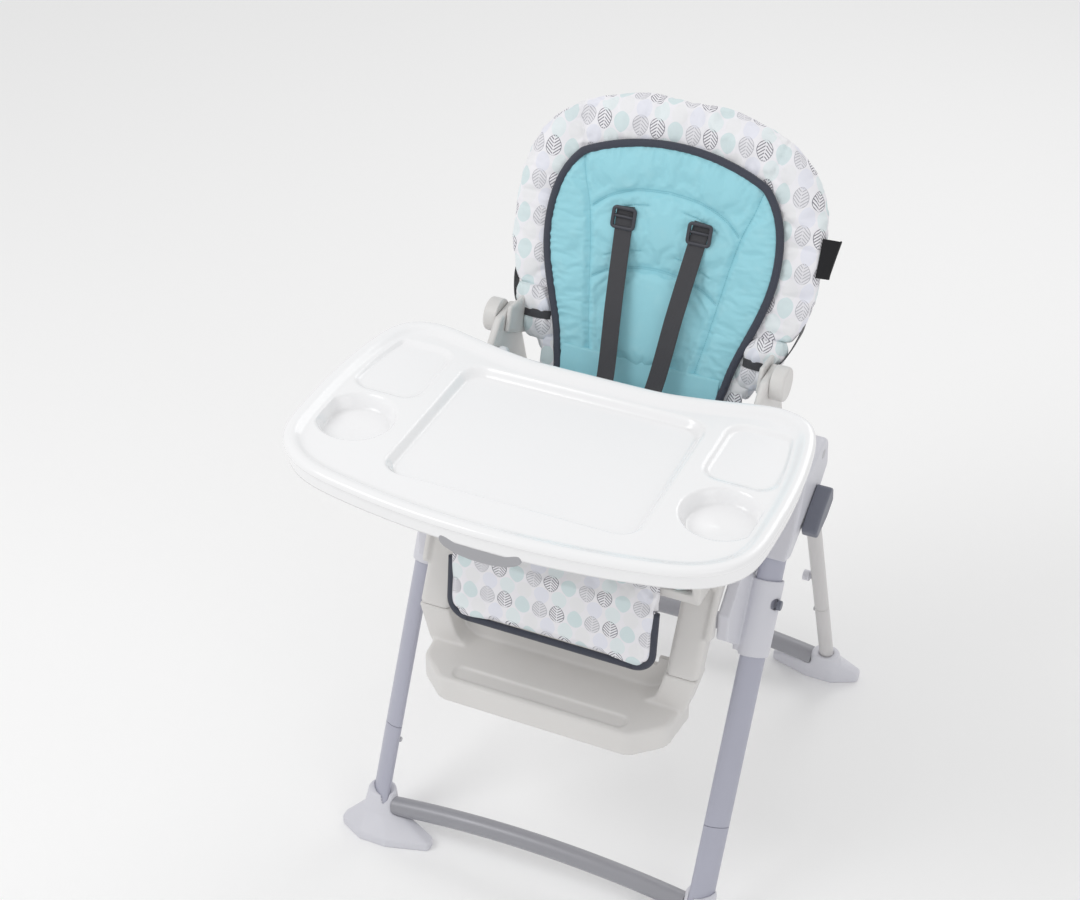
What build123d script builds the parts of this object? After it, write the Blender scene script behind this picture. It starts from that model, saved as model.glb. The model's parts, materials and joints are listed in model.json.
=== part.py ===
from build123d import *
import math
import os

os.makedirs("parts", exist_ok=True)

# Baby high chair, millimetres, +Z up. The child faces -Y and the child's left hand is at +X.
# The origin is on the floor, under the middle of the whole chair's bounding box.

# ---- driving dimensions ----
HALF_DEPTH = 390.0          # front of the tray and back of the rear feet, from the origin
TRAY_TOP = 740.0            # rim of the tray above the floor
LEG_X = 250.0               # plane of the leg centrelines, each side
APEX_Z = 666.0              # where the lines of the legs meet above the floor
PIVOT_Z = 602.0             # fold pivot above the floor, on the line of the rear legs
FRONT_RAKE = 26.5           # degrees from vertical, front legs
REAR_RAKE = 22.4            # degrees from vertical, rear legs
FOOT_HALF = 27.0            # half of a foot's depth
APEX_Y = HALF_DEPTH - FOOT_HALF - APEX_Z * math.tan(math.radians(REAR_RAKE))
OVAL_A = 19.0               # front tube, half of the long side
OVAL_B = 9.5                # front tube, half of the short side
OVAL_TURN = 40.0            # degrees, long side of the oval turned from the X axis
REAR_R = 11.0               # rear tube radius
WALL = 1.6                  # tube walls
GAP = 0.5                   # air between pieces of different bodies

FRONT_JOINT_Z = 149.0       # front tube joint above the floor
REAR_JOINT_Z = 200.0        # rear tube joint above the floor
FOOT_COLLAR_Z = 60.0        # top of the feet's collars
HUB_IN = 231.0              # inner face of the hub housings
HUB_OUT = 276.0             # outer face of the hub housings
HUB_BOTTOM_Z = 497.0

SEAT_TOP = 540.0            # top of the seat pad
PAN_TOP = 520.0             # top of the seat pan
PAN_THICK = 14.0
SEAT_FRONT = -146.0         # front edge of the seat pan
SEAT_BACK = 160.0           # rear edge of the seat pan
SEAT_HALF = 200.0           # outside of the seat's side walls
SIDE_WALL = 12.0
ARM_TOP = 682.0             # top of the side walls, under the rails

BACK_TILT = 21.9            # degrees from vertical, backrest
BACK_Y = 202.5              # a point on the back pad's front face
BACK_Z = 846.0
RECLINE_Y = 108.0           # recline pivot
RECLINE_Z = 703.0

TRAY_HALF = 323.0           # half of the tray's width
TRAY_SKIRT = 31.0           # height of the skirt around the tray
CUP_X = 249.0
CUP_Y = -228.0
CUP_R = 48.0
CUP_DEPTH = 22.0

front_dir = Vector(0, math.sin(math.radians(FRONT_RAKE)), math.cos(math.radians(FRONT_RAKE)))
rear_dir = Vector(0, -math.sin(math.radians(REAR_RAKE)), math.cos(math.radians(REAR_RAKE)))
FRONT_TAN = math.tan(math.radians(FRONT_RAKE))
REAR_TAN = math.tan(math.radians(REAR_RAKE))


def save(shape, name):
    export_step(shape, f"parts/{name}.step")


def mirrored(shape):
    return mirror(shape, about=Plane.YZ)


def save_pair(shape, name):
    save(shape, f"{name}_left")
    save(mirrored(shape), f"{name}_right")


def front_point(z, x=LEG_X):
    return Vector(x, APEX_Y + (z - APEX_Z) * FRONT_TAN, z)


def rear_point(z, x=LEG_X):
    return Vector(x, APEX_Y + (APEX_Z - z) * REAR_TAN, z)


def rounded(points, radius):
    face = make_face(Polyline(*points, close=True))
    return fillet(face.vertices(), radius)


def slab_yz(points, x0, x1, radius=None):
    face = rounded(points, radius) if radius else make_face(Polyline(*points, close=True))
    return extrude(Plane.YZ.offset(x0) * face, x1 - x0)


def block(x0, x1, y0, y1, z0, z1):
    return Pos((x0 + x1) / 2, (y0 + y1) / 2, (z0 + z1) / 2) * Box(x1 - x0, y1 - y0, z1 - z0)


def pin_x(radius, x0, x1, y, z):
    return Pos((x0 + x1) / 2, y, z) * Rot(0, 90, 0) * Cylinder(radius, x1 - x0)


def front_oval(z_low, z_high, grow=0.0):
    """An oval bar along the left front leg, between two heights of its centreline."""
    start = front_point(z_low)
    length = (z_high - z_low) / math.cos(math.radians(FRONT_RAKE))
    plane = Plane(origin=start, x_dir=(1, 0, 0), z_dir=front_dir)
    return extrude(plane * Rot(0, 0, OVAL_TURN) * Ellipse(OVAL_A + grow, OVAL_B + grow), length)


def rear_round(z_low, z_high, radius):
    """A round bar along the left rear leg, between two heights of its centreline."""
    start = rear_point(z_low)
    length = (z_high - z_low) / math.cos(math.radians(REAR_RAKE))
    return extrude(Plane(origin=start, x_dir=(1, 0, 0), z_dir=rear_dir) * Circle(radius), length)


# ---- front frame ----
TUBE_TOP_Z = 546.0
PLUG_Z = 95.0
SNAP_R = 4.0
SNAP_HOLE = SNAP_R + 0.4
FRONT_SNAP_Z = 130.0
EXT_BOTTOM_Z = 22.0

upper = front_oval(FRONT_JOINT_Z, TUBE_TOP_Z) - front_oval(FRONT_JOINT_Z + 20, TUBE_TOP_Z + 1, -WALL)
plug = front_oval(PLUG_Z, FRONT_JOINT_Z + 1, -WALL - 0.4)
snap_y = front_point(FRONT_SNAP_Z).Y
snap_pocket = pin_x(SNAP_HOLE + 0.2, LEG_X - 30, LEG_X + 5, snap_y, FRONT_SNAP_Z)
front_leg = upper + plug - snap_pocket
save_pair(front_leg, "front_leg")

extension = front_oval(EXT_BOTTOM_Z, FRONT_JOINT_Z - 0.8) - front_oval(EXT_BOTTOM_Z + 6, FRONT_JOINT_Z + 2, -WALL)
extension -= pin_x(SNAP_HOLE, LEG_X - 30, LEG_X, snap_y, FRONT_SNAP_Z)
save_pair(extension, "front_extension")

# A snap button: a domed pin that springs out through the hole on the inner side of the joint.
SNAP_OUT = 2.6
snap_face_x = LEG_X - 13.6
front_snap = pin_x(SNAP_R, snap_face_x - SNAP_OUT, LEG_X - 2, snap_y, FRONT_SNAP_Z)
front_snap = fillet(front_snap.edges().group_by(Axis.X)[0], 1.8)
save_pair(front_snap, "front_snap")

# Feet: boat shapes that taper to a point outwards and run inwards under the cross bar.
FOOT_OUT = 50.0
FOOT_IN = 92.0
FOOT_TALL = 36.0


def foot(y, top_lean):
    """Left foot under a leg whose centreline meets the floor at y."""
    base = [(LEG_X - FOOT_IN, y - 9), (LEG_X - 30, y - FOOT_HALF), (LEG_X + 12, y - FOOT_HALF),
            (LEG_X + FOOT_OUT, y - 8), (LEG_X + FOOT_OUT, y + 8), (LEG_X + 12, y + FOOT_HALF),
            (LEG_X - 30, y + FOOT_HALF), (LEG_X - FOOT_IN, y + 9)]
    lower = extrude(rounded(base, 6.5), 14)
    top_y = y + top_lean * FOOT_COLLAR_Z
    crown = Plane.XY.offset(FOOT_TALL) * (Pos(LEG_X - 4, y + top_lean * FOOT_TALL) * Ellipse(27, 20))
    skirt = Plane.XY.offset(14) * rounded(base, 6.5)
    middle = loft([skirt.face(), crown.face()])
    neck = Plane.XY.offset(FOOT_COLLAR_Z) * (Pos(LEG_X, top_y) * Ellipse(21, 18))
    collar = loft([crown.face(), neck.face()])
    return lower + middle + collar


BAR_Z = 42.0
BAR_R = 14.0
BAR_ARCH = 15.0
front_foot_y = front_point(0).Y
front_bar_y = front_point(BAR_Z).Y


def cross_bar(y, section, half):
    """A bar between the feet, arched a little upwards."""
    path = ThreePointArc((-half, y, BAR_Z - 3), (0, y, BAR_Z + BAR_ARCH), (half, y, BAR_Z - 3))
    return sweep(Plane(origin=path @ 0, z_dir=path % 0) * section, path)


BAR_HALF = LEG_X - 24
bar_tube = Circle(BAR_R) - Circle(BAR_R - WALL)
bar_bore = Circle(BAR_R + 0.05)


front_foot = foot(front_foot_y, FRONT_TAN)
front_foot -= front_oval(EXT_BOTTOM_Z - 0.05, FOOT_COLLAR_Z + 30, 0.05)
front_foot -= cross_bar(front_bar_y, bar_bore, BAR_HALF + 0.05)
save_pair(front_foot, "front_foot")
save(cross_bar(front_bar_y, bar_tube, BAR_HALF), "front_cross_bar")

# Hub housing: a cover around the top of the front tube with two cheeks for the rear leg's knuckle.
HUB_R = 22.0
KNUCKLE_R = 17.0
KNUCKLE_ROOM = 20.0
KNUCKLE_IN = 240.0
KNUCKLE_OUT = 260.0
PIN_R = 6.0
FOLD_RANGE = 34.0           # degrees that the rear legs swing forwards to fold
PIVOT_Y = rear_point(PIVOT_Z).Y
LEVER_RISE = 24.0           # degrees above horizontal, backwards
lever_mid = Vector(0, 68.0, 541.0)
lever_axis = Vector(0, math.cos(math.radians(LEVER_RISE)), math.sin(math.radians(LEVER_RISE)))
lever_side = Vector(0, -lever_axis.Z, lever_axis.Y)
lever_pivot = lever_mid - lever_axis * 28
LEVER_PIN_R = 2.7

front_side = Vector(0, math.cos(math.radians(FRONT_RAKE)), -math.sin(math.radians(FRONT_RAKE)))
rear_side = Vector(0, math.cos(math.radians(REAR_RAKE)), math.sin(math.radians(REAR_RAKE)))
hub_low = front_point(HUB_BOTTOM_Z)
low_front = hub_low - front_side * 20
low_back = hub_low + front_side * 20
skirt_front = Vector(0, 46.0, 518.0)
skirt_low = Vector(0, 96.0, 536.0)
skirt_back = rear_point(566.0) + rear_side * 13
high_back = Vector(0, PIVOT_Y, PIVOT_Z) + rear_side * HUB_R
high_mid = Vector(0, PIVOT_Y - 4, PIVOT_Z + HUB_R - 0.4)
high_front = front_point(600.0) - front_side * 20
hub_corners = (low_front, low_back, skirt_front, skirt_low, skirt_back, high_back, high_mid, high_front)
hub = slab_yz([(corner.Y, corner.Z) for corner in hub_corners], HUB_IN, HUB_OUT)
hub += pin_x(HUB_R, HUB_IN, HUB_OUT, PIVOT_Y, PIVOT_Z)
hub = fillet(hub.edges().group_by(Axis.X)[-1], 5)
hub -= front_oval(HUB_BOTTOM_Z - 20, TUBE_TOP_Z, 0.05)
# The outer face leans in towards the tube at the bottom.
lean = [(266.5, 480), (HUB_OUT + 1, 552), (310, 552), (310, 480)]
hub -= extrude(Plane.XZ.offset(-300) * make_face(Polyline(*lean, close=True)), 600)


def pivot_ray(length, degrees, across=0.0):
    """A point below the fold pivot, on a ray turned backwards from vertical."""
    turn = math.radians(degrees)
    return (PIVOT_Y + across + length * math.sin(turn), PIVOT_Z - length * math.cos(turn))


# The slot in which the knuckle and the rear leg swing.
SWING = 230.0
hub -= pin_x(KNUCKLE_ROOM, KNUCKLE_IN - 1, KNUCKLE_OUT + 1, PIVOT_Y, PIVOT_Z)
fan = [(PIVOT_Y + 16, PIVOT_Z), pivot_ray(SWING, REAR_RAKE + 12), pivot_ray(SWING, REAR_RAKE - FOLD_RANGE - 8),
       (PIVOT_Y - 16, PIVOT_Z)]
hub -= slab_yz(fan, KNUCKLE_IN - 1, KNUCKLE_OUT + 1)
hub -= pin_x(PIN_R, HUB_IN - 5, HUB_OUT + 5, PIVOT_Y, PIVOT_Z)
hub = hub.solids().sort_by(SortBy.VOLUME)[-1]
hub += pin_x(LEVER_PIN_R, HUB_OUT - 8, HUB_OUT + 14, lever_pivot.Y, lever_pivot.Z)
save_pair(hub, "hub_housing")

pivot_pin = pin_x(PIN_R, HUB_IN + 0.5, HUB_OUT - 0.5, PIVOT_Y, PIVOT_Z)
save(Compound([pivot_pin, mirrored(pivot_pin)]), "pivot_pins")

# ---- rear frame ----
REAR_SNAP_Z = 186.0
REAR_PLUG_Z = 140.0
KNUCKLE_END_Z = 560.0
knuckle = pin_x(KNUCKLE_R, KNUCKLE_IN, KNUCKLE_OUT, PIVOT_Y, PIVOT_Z)
knuckle += rear_round(KNUCKLE_END_Z - 8, PIVOT_Z, 9.5)
knuckle -= pin_x(PIN_R + 0.05, KNUCKLE_IN - 1, KNUCKLE_OUT + 1, PIVOT_Y, PIVOT_Z)
knuckle = knuckle.solids().sort_by(SortBy.VOLUME)[-1]
# The knuckle's stem and the tube share the tube's bore.
stem = rear_round(KNUCKLE_END_Z - 60, KNUCKLE_END_Z, REAR_R - WALL)
knuckle += stem
tube_room = rear_round(KNUCKLE_END_Z - 100, KNUCKLE_END_Z, REAR_R) - rear_round(
    KNUCKLE_END_Z - 101, KNUCKLE_END_Z + 1, REAR_R - WALL)
knuckle -= tube_room
knuckle = knuckle.solids().sort_by(SortBy.VOLUME)[-1]
save_pair(knuckle, "rear_knuckle")

rear_upper = rear_round(REAR_JOINT_Z, KNUCKLE_END_Z - 0.2, REAR_R) - rear_round(
    REAR_JOINT_Z + 15, KNUCKLE_END_Z + 1, REAR_R - WALL)
rear_plug = rear_round(REAR_PLUG_Z, REAR_JOINT_Z + 1, REAR_R - WALL - 0.4)
rear_snap_y = rear_point(REAR_SNAP_Z).Y
rear_leg = rear_upper + rear_plug - pin_x(SNAP_HOLE + 0.2, LEG_X - 30, LEG_X + 4, rear_snap_y, REAR_SNAP_Z)
save_pair(rear_leg, "rear_leg")

rear_ext = rear_round(EXT_BOTTOM_Z, REAR_JOINT_Z - 0.8, REAR_R) - rear_round(
    EXT_BOTTOM_Z + 6, REAR_JOINT_Z + 2, REAR_R - WALL)
rear_ext -= pin_x(SNAP_HOLE, LEG_X - 30, LEG_X, rear_snap_y, REAR_SNAP_Z)
save_pair(rear_ext, "rear_extension")

rear_snap = pin_x(SNAP_R, LEG_X - REAR_R - SNAP_OUT, LEG_X - 2, rear_snap_y, REAR_SNAP_Z)
rear_snap = fillet(rear_snap.edges().group_by(Axis.X)[0], 1.8)
save_pair(rear_snap, "rear_snap")

rear_bar_y = rear_point(BAR_Z).Y
rear_ground_y = rear_point(0).Y
rear_foot = foot(rear_ground_y, -REAR_TAN)
rear_foot -= rear_round(EXT_BOTTOM_Z - 0.05, FOOT_COLLAR_Z + 30, REAR_R + 0.05)
rear_foot -= cross_bar(rear_bar_y, bar_bore, BAR_HALF + 0.05)
save_pair(rear_foot, "rear_foot")
save(cross_bar(rear_bar_y, bar_tube, BAR_HALF), "rear_cross_bar")

KNOB_Z = 276.0
knob_y = rear_point(KNOB_Z).Y
knob = pin_x(8, LEG_X - 24, LEG_X - 14, knob_y, KNOB_Z) + pin_x(4, LEG_X - 14.5, LEG_X - REAR_R - 0.2, knob_y, KNOB_Z)
save(Compound([knob, mirrored(knob)]), "rear_knobs")

# ---- fold levers: a two-facet paddle on the outside of each hub ----
LEVER_IN = HUB_OUT + GAP
LEVER_OUT = 298.5
lever_corners = []
for along, across in ((-37, -9), (-38, 8), (-12, 15), (31, 17), (37, 6), (32, -14), (4, -17)):
    corner = lever_mid + lever_axis * along + lever_side * across
    lever_corners.append((corner.Y, corner.Z))
lever = slab_yz(lever_corners, LEVER_IN, LEVER_OUT, 5)
lever = fillet(lever.edges().group_by(Axis.X)[-1], 3)
# The tip tucks in towards the housing.
tuck_turn = Pos(LEVER_OUT, lever_mid.Y, lever_mid.Z) * Rot(LEVER_RISE, 0, 0) * Pos(0, -10, 0) * Rot(0, 0, 14)
lever -= tuck_turn * Pos(20, -40, 0) * Box(40, 80, 80)
lever -= pin_x(LEVER_PIN_R + 0.3, LEVER_IN - 1, HUB_OUT + 15, lever_pivot.Y, lever_pivot.Z)
save_pair(lever, "fold_lever")

# ---- height sleeves and their latch buttons ----
SLEEVE_LOW_Z = 371.0
SLEEVE_HIGH_Z = 469.0
SLEEVE_WALL = 4.0
PLATE_IN = 223.0
sleeve = front_oval(SLEEVE_LOW_Z, SLEEVE_HIGH_Z, SLEEVE_WALL)
plate_mid = front_point((SLEEVE_LOW_Z + SLEEVE_HIGH_Z) / 2, 0)
leg_turn = Pos(0, plate_mid.Y, plate_mid.Z) * Rot(-FRONT_RAKE, 0, 0)
sleeve += leg_turn * block(PLATE_IN, LEG_X - 4, -8, 8, -30, 38)
sleeve += leg_turn * block(PLATE_IN, HUB_IN - 1.5, -14, 14, -50, 50)
bracket_low = front_point(SLEEVE_LOW_Z + 16, 0)
bracket = [(bracket_low.Y - 14, bracket_low.Z), (bracket_low.Y + 10, bracket_low.Z),
           (front_point(530, 0).Y + 24, 530), (front_point(530, 0).Y - 60, 530), (-110, 470), (-112, 430)]
sleeve += slab_yz(bracket, 213, HUB_IN - 1.5)
sleeve -= front_oval(SLEEVE_LOW_Z - 60, SLEEVE_HIGH_Z + 60, GAP)
LATCH_R = 7.0
latch_point = front_point(440.0)
sleeve -= pin_x(LATCH_R + 0.4, LEG_X + 10, LEG_X + 40, latch_point.Y, latch_point.Z)
sleeve = sleeve.solids().sort_by(SortBy.VOLUME)[-1]
save_pair(sleeve, "height_sleeve")
latch = pin_x(LATCH_R, LEG_X + 18.6, LEG_X + 24.5, latch_point.Y, latch_point.Z)
latch = fillet(latch.edges().group_by(Axis.X)[-1], 1.5)
save_pair(latch, "height_latch")

# ---- seat shell: pan, side walls with armrests, rear lip, calf panel and two columns ----
CALF_LOW_Z = 404.0
calf_low_y = -162.0
pan = block(-SEAT_HALF, SEAT_HALF, SEAT_FRONT, SEAT_BACK, PAN_TOP - PAN_THICK, PAN_TOP)
side_outline = [(SEAT_FRONT, PAN_TOP - PAN_THICK), (SEAT_BACK, PAN_TOP - PAN_THICK), (SEAT_BACK + 8, 600),
                (RECLINE_Y + 26, 716), (RECLINE_Y - 26, 716), (RECLINE_Y - 60, ARM_TOP),
                (-176, ARM_TOP), (-186, 664), (SEAT_FRONT - 6, 560)]
wall = slab_yz(side_outline, SEAT_HALF - SIDE_WALL, SEAT_HALF, 8)
shell = pan + wall + mirrored(wall)
rear_lip = slab_yz([(SEAT_BACK - 12, PAN_TOP - PAN_THICK), (SEAT_BACK, PAN_TOP - PAN_THICK),
                    (SEAT_BACK + 8, 596), (SEAT_BACK - 3, 596)], -SEAT_HALF, SEAT_HALF)
calf = slab_yz([(SEAT_FRONT, PAN_TOP - PAN_THICK), (SEAT_FRONT + 12, PAN_TOP - PAN_THICK),
                (calf_low_y + 10, CALF_LOW_Z), (calf_low_y, CALF_LOW_Z)], -140, 140)
shell += rear_lip + calf
COLUMN_IN = 160.0
COLUMN_OUT = 206.0
SEAM_Z = 385.0
SEAM_Y = -158.0
column_top_y = SEAM_Y + (PAN_TOP - 4 - SEAM_Z) * FRONT_TAN
column = slab_yz([(SEAM_Y - 2, SEAM_Z + 0.5), (SEAM_Y + 34, SEAM_Z + 0.5), (column_top_y + 40, PAN_TOP - 4),
                  (column_top_y, PAN_TOP - 4)], COLUMN_IN, COLUMN_OUT)
column = fillet(column.edges().filter_by(Axis.X, reverse=True).filter_by(lambda e: e.length > 60), 8)
tie = slab_yz([(-112, 430), (-110, 470), (-60, PAN_TOP - 4), (-100, PAN_TOP - 4), (-136, 440)], COLUMN_OUT - 2, 213)
shell += column + mirrored(column) + tie + mirrored(tie)
pivot_hole = pin_x(6.05, -SEAT_HALF - 9, SEAT_HALF + 9, RECLINE_Y, RECLINE_Z)
shell -= pivot_hole
save(shell, "seat_shell")

cap = pin_x(24, SEAT_HALF + 0.1, SEAT_HALF + 20, RECLINE_Y, RECLINE_Z)
cap = fillet(cap.edges().group_by(Axis.X)[-1], 4)
save_pair(cap, "recline_cap")

RAIL_FRONT = -196.0
RAIL_BACK = 30.0
rail = block(SEAT_HALF - 14, SEAT_HALF + 8, RAIL_FRONT, RAIL_BACK, ARM_TOP + 0.1, ARM_TOP + 14)
rail = fillet(rail.edges().filter_by(Axis.Z), 6)
save_pair(rail, "armrest_rail")

# ---- footrest: a U-shaped tub under the columns, with a ledge for the feet ----
FOOTREST_BOTTOM = 288.0
LEDGE_Z = 330.0
u_outer = [(-COLUMN_OUT, SEAM_Z), (-COLUMN_OUT + 18, FOOTREST_BOTTOM + 26), (-120, FOOTREST_BOTTOM),
           (120, FOOTREST_BOTTOM), (COLUMN_OUT - 18, FOOTREST_BOTTOM + 26), (COLUMN_OUT, SEAM_Z)]
u_inner = [(-COLUMN_IN, SEAM_Z + 1), (-COLUMN_IN + 12, FOOTREST_BOTTOM + 52), (-112, FOOTREST_BOTTOM + 30),
           (112, FOOTREST_BOTTOM + 30), (COLUMN_IN - 12, FOOTREST_BOTTOM + 52), (COLUMN_IN, SEAM_Z + 1)]


def softened(points, corners, radius):
    face = make_face(Polyline(*points, close=True))
    picked = []
    for vertex in face.vertices():
        for corner in corners:
            if abs(vertex.X - corner[0]) < 1 and abs(vertex.Y - corner[1]) < 1:
                picked.append(vertex)
    return fillet(picked, radius)


outer_face = softened(u_outer, u_outer[1:5], 40)
inner_face = softened(u_inner, u_inner[1:5], 22)
tub_slope = Plane(origin=(0, SEAM_Y + 36, SEAM_Z), x_dir=(1, 0, 0), z_dir=(0, -1, 0))
flat_outer = Pos(0, -SEAM_Z) * outer_face
flat_inner = Pos(0, -SEAM_Z) * inner_face
tub = extrude(tub_slope * flat_outer, 38)
tub -= extrude(Plane(origin=(0, SEAM_Y + 28, SEAM_Z), x_dir=(1, 0, 0), z_dir=(0, -1, 0)) * flat_inner, 60)
tub -= block(-COLUMN_IN + 20, COLUMN_IN - 20, SEAM_Y, SEAM_Y + 60, SEAM_Z - 14, SEAM_Z + 5)
LEDGE_FRONT = -234.0
ledge_points = [(-188, SEAM_Y + 30), (-182, -196), (-140, LEDGE_FRONT), (140, LEDGE_FRONT), (182, -196),
                (188, SEAM_Y + 30)]
ledge_face = softened(ledge_points, ledge_points[1:5], 26)
ledge = extrude(Plane.XY.offset(FOOTREST_BOTTOM + 4) * ledge_face, LEDGE_Z - FOOTREST_BOTTOM - 4)
ledge = fillet(ledge.edges().group_by(Axis.Z)[-1], 6)
TREAD_DEPTH = 3.0
tread = Pos(0, -211, LEDGE_Z) * extrude(RectangleRounded(258, 26, 12), -TREAD_DEPTH)
footrest = tub + ledge - tread
save(footrest, "footrest")

# ---- soft seat goods ----
seat_pad = block(-SEAT_HALF + SIDE_WALL + 2, SEAT_HALF - SIDE_WALL - 2, SEAT_FRONT - 0.4, 96, PAN_TOP + 0.4, 534)
seat_pad = fillet(seat_pad.edges().filter_by(Axis.Z), 20)
seat_pad += slab_yz([(84, PAN_TOP + 0.4), (128, PAN_TOP + 0.4), (154, 616), (128, 616)], -150, 150)
save(seat_pad, "seat_pad")
seat_insert = block(-126, 126, SEAT_FRONT + 14, 82, 534.4, SEAT_TOP + 6)
seat_insert = fillet(seat_insert.edges().filter_by(Axis.Z), 30)
save(seat_insert, "seat_insert")

wing = block(SEAT_HALF - SIDE_WALL - 15, SEAT_HALF - SIDE_WALL - 0.5, -70, 78, 534.4, ARM_TOP - 0.5)
wing = fillet(wing.edges().filter_by(Axis.X), 12)
save_pair(wing, "seat_wing")

CALF_HALF = 147.0
calf_front = [(SEAT_FRONT - 10, PAN_TOP + 13), (SEAT_FRONT - 1, PAN_TOP + 13), (SEAT_FRONT - 0.8, PAN_TOP - 12),
              (calf_low_y - 1, CALF_LOW_Z - 2), (calf_low_y - 19, CALF_LOW_Z - 2), (SEAT_FRONT - 24, PAN_TOP - 4)]
calf_pad = slab_yz(calf_front, -CALF_HALF, CALF_HALF)
calf_mask = extrude(Plane.XZ.offset(100) * rounded(
    [(-CALF_HALF, CALF_LOW_Z - 2), (CALF_HALF, CALF_LOW_Z - 2), (CALF_HALF, 560), (-CALF_HALF, 560)], 26), 150)
calf_pad = calf_pad & calf_mask
save(calf_pad, "calf_pad")

# ---- harness on the seat ----
STRAP_W = 25.0
BUCKLE_Y = -42.0
BUCKLE_Z = 590.0
crotch = block(-STRAP_W / 2, STRAP_W / 2, BUCKLE_Y, BUCKLE_Y + 2, SEAT_TOP + 6.5, BUCKLE_Z - 16)
save(crotch, "crotch_strap")
buckle = block(-26, 26, BUCKLE_Y - 7, BUCKLE_Y + 7, BUCKLE_Z - 15.5, BUCKLE_Z + 24)
buckle = fillet(buckle.edges().filter_by(Axis.Y), 8)
buckle -= Pos(0, BUCKLE_Y - 5, BUCKLE_Z + 4) * Box(17, 8, 17)
save(buckle, "harness_buckle")
button = block(-8, 8, BUCKLE_Y - 9, BUCKLE_Y - 4.5, BUCKLE_Z - 4, BUCKLE_Z + 12)
save(button, "buckle_button")
waist_low = BUCKLE_Z - 20
waist = block(27, SEAT_HALF - SIDE_WALL - 16, BUCKLE_Y - 1, BUCKLE_Y + 1, waist_low, waist_low + STRAP_W)
save_pair(waist, "waist_strap")

# ---- backrest, drawn upright in its own plane: +Y is behind the pad's front, +Z runs up the back ----
back_place = Pos(0, BACK_Y, BACK_Z) * Rot(-BACK_TILT, 0, 0)
PAD_THICK = 26.0
SHELL_THICK = 16.0
PAD_TOP = 168.0
PAD_BOTTOM = -214.0
PAD_HALF = 222.0
CROWN = 2 / 2.6             # power that squares the crown's curve
INSERT_TOP = 107.0
INSERT_CORNER = (131.0, 77.0)
INSERT_FOOT = 124.0


def back_outline(half, top, bottom, low_half):
    """The backrest's outline: a rounded crown over sides that draw in towards the bottom."""
    crown = []
    for step in range(7):
        angle = math.radians(15 * step)
        crown.append((half * math.cos(angle) ** CROWN, top * math.sin(angle) ** CROWN))
    crown[-1] = (0, top)
    low = [(low_half, bottom), (half * 0.97, bottom * 0.42)]
    right = Spline(*low, *crown, tangents=[(0.25, 1), (-1, 0)])
    return make_face(Curve() + [right, mirror(right, about=Plane.YZ), Line((-low_half, bottom), (low_half, bottom))])


def insert_outline():
    """The plain insert's outline: two top corners under an arc, sides drawn in towards the seat."""
    corner_x, corner_z = INSERT_CORNER
    low = PAD_BOTTOM + 6
    right = Spline((INSERT_FOOT, low), (134, -160), (152, -106), (165, -50), (166, -8), (158, 34), INSERT_CORNER)
    top_arc = ThreePointArc((-corner_x, corner_z), (0, INSERT_TOP), INSERT_CORNER)
    base = Line((-INSERT_FOOT, low), (INSERT_FOOT, low))
    return make_face(Curve() + [right, mirror(right, about=Plane.YZ), top_arc, base])


def back_slab(face, near, thick):
    """A slab of the backrest from a distance behind the pad's front plane."""
    plane = Plane(origin=(0, near + thick, 0), x_dir=(1, 0, 0), z_dir=(0, -1, 0))
    return extrude(plane * face, thick)


back_pad = back_slab(back_outline(PAD_HALF, PAD_TOP, PAD_BOTTOM, 158), 5.5, PAD_THICK - 6)
back_pad = fillet(back_pad.edges().group_by(Axis.Y)[0], 9)

back_insert = back_slab(insert_outline(), -3, 8)
save(back_place * back_insert, "back_insert")

back_shell = back_slab(back_outline(PAD_HALF - 7, PAD_TOP - 7, PAD_BOTTOM + 40, 176), PAD_THICK, SHELL_THICK)
back_shell = fillet(back_shell.edges().group_by(Axis.Y)[-1], 8)
# Ears that reach forward to the recline pivot inside the seat's side walls.
pivot_local = back_place.inverse() * Pos(0, RECLINE_Y, RECLINE_Z)
pivot_y = pivot_local.position.Y
pivot_z = pivot_local.position.Z
EAR_OUT = SEAT_HALF - SIDE_WALL - GAP
ear = slab_yz([(pivot_y - 16, pivot_z - 18), (pivot_y - 16, pivot_z + 18), (PAD_THICK + 8, pivot_z + 40),
               (PAD_THICK + 8, pivot_z - 30)], EAR_OUT - 7, EAR_OUT)
boss = pin_x(6, EAR_OUT - 1, SEAT_HALF - 0.6, pivot_y, pivot_z)
ear = ear + boss
back_shell = back_shell + ear + mirrored(ear)
save(back_place * back_shell, "backrest_shell")

notched_pad = back_pad
for turn in (1, -1):
    notch = block(EAR_OUT - 8.5, EAR_OUT + 60, -20, PAD_THICK + 1, PAD_BOTTOM - 1, pivot_z + 46)
    notched_pad = notched_pad - (notch if turn > 0 else mirrored(notch))
save(back_place * notched_pad, "back_pad")

SLIDER_X = 55.0
LEAN = 7.5
FLARE = 5.0
STRAP_LONG = 236.0
strap_place = Pos(SLIDER_X, -6.5, 4) * Rot(-LEAN, 0, 0) * Rot(0, FLARE, 0)
strap = strap_place * block(-STRAP_W / 2, STRAP_W / 2, -1, 1, -STRAP_LONG, 0)
save_pair(back_place * strap, "shoulder_strap")
slider = block(SLIDER_X - 17, SLIDER_X + 17, -13, -8.6, -16, 14)
slider = fillet(slider.edges().filter_by(Axis.Y), 4)
slider -= strap_place * block(-STRAP_W / 2 - 1, STRAP_W / 2 + 1, -1.6, 1.6, -STRAP_LONG, 10)
slider = slider.solids().sort_by(SortBy.VOLUME)[-1]
save_pair(back_place * slider, "strap_slider")

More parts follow.
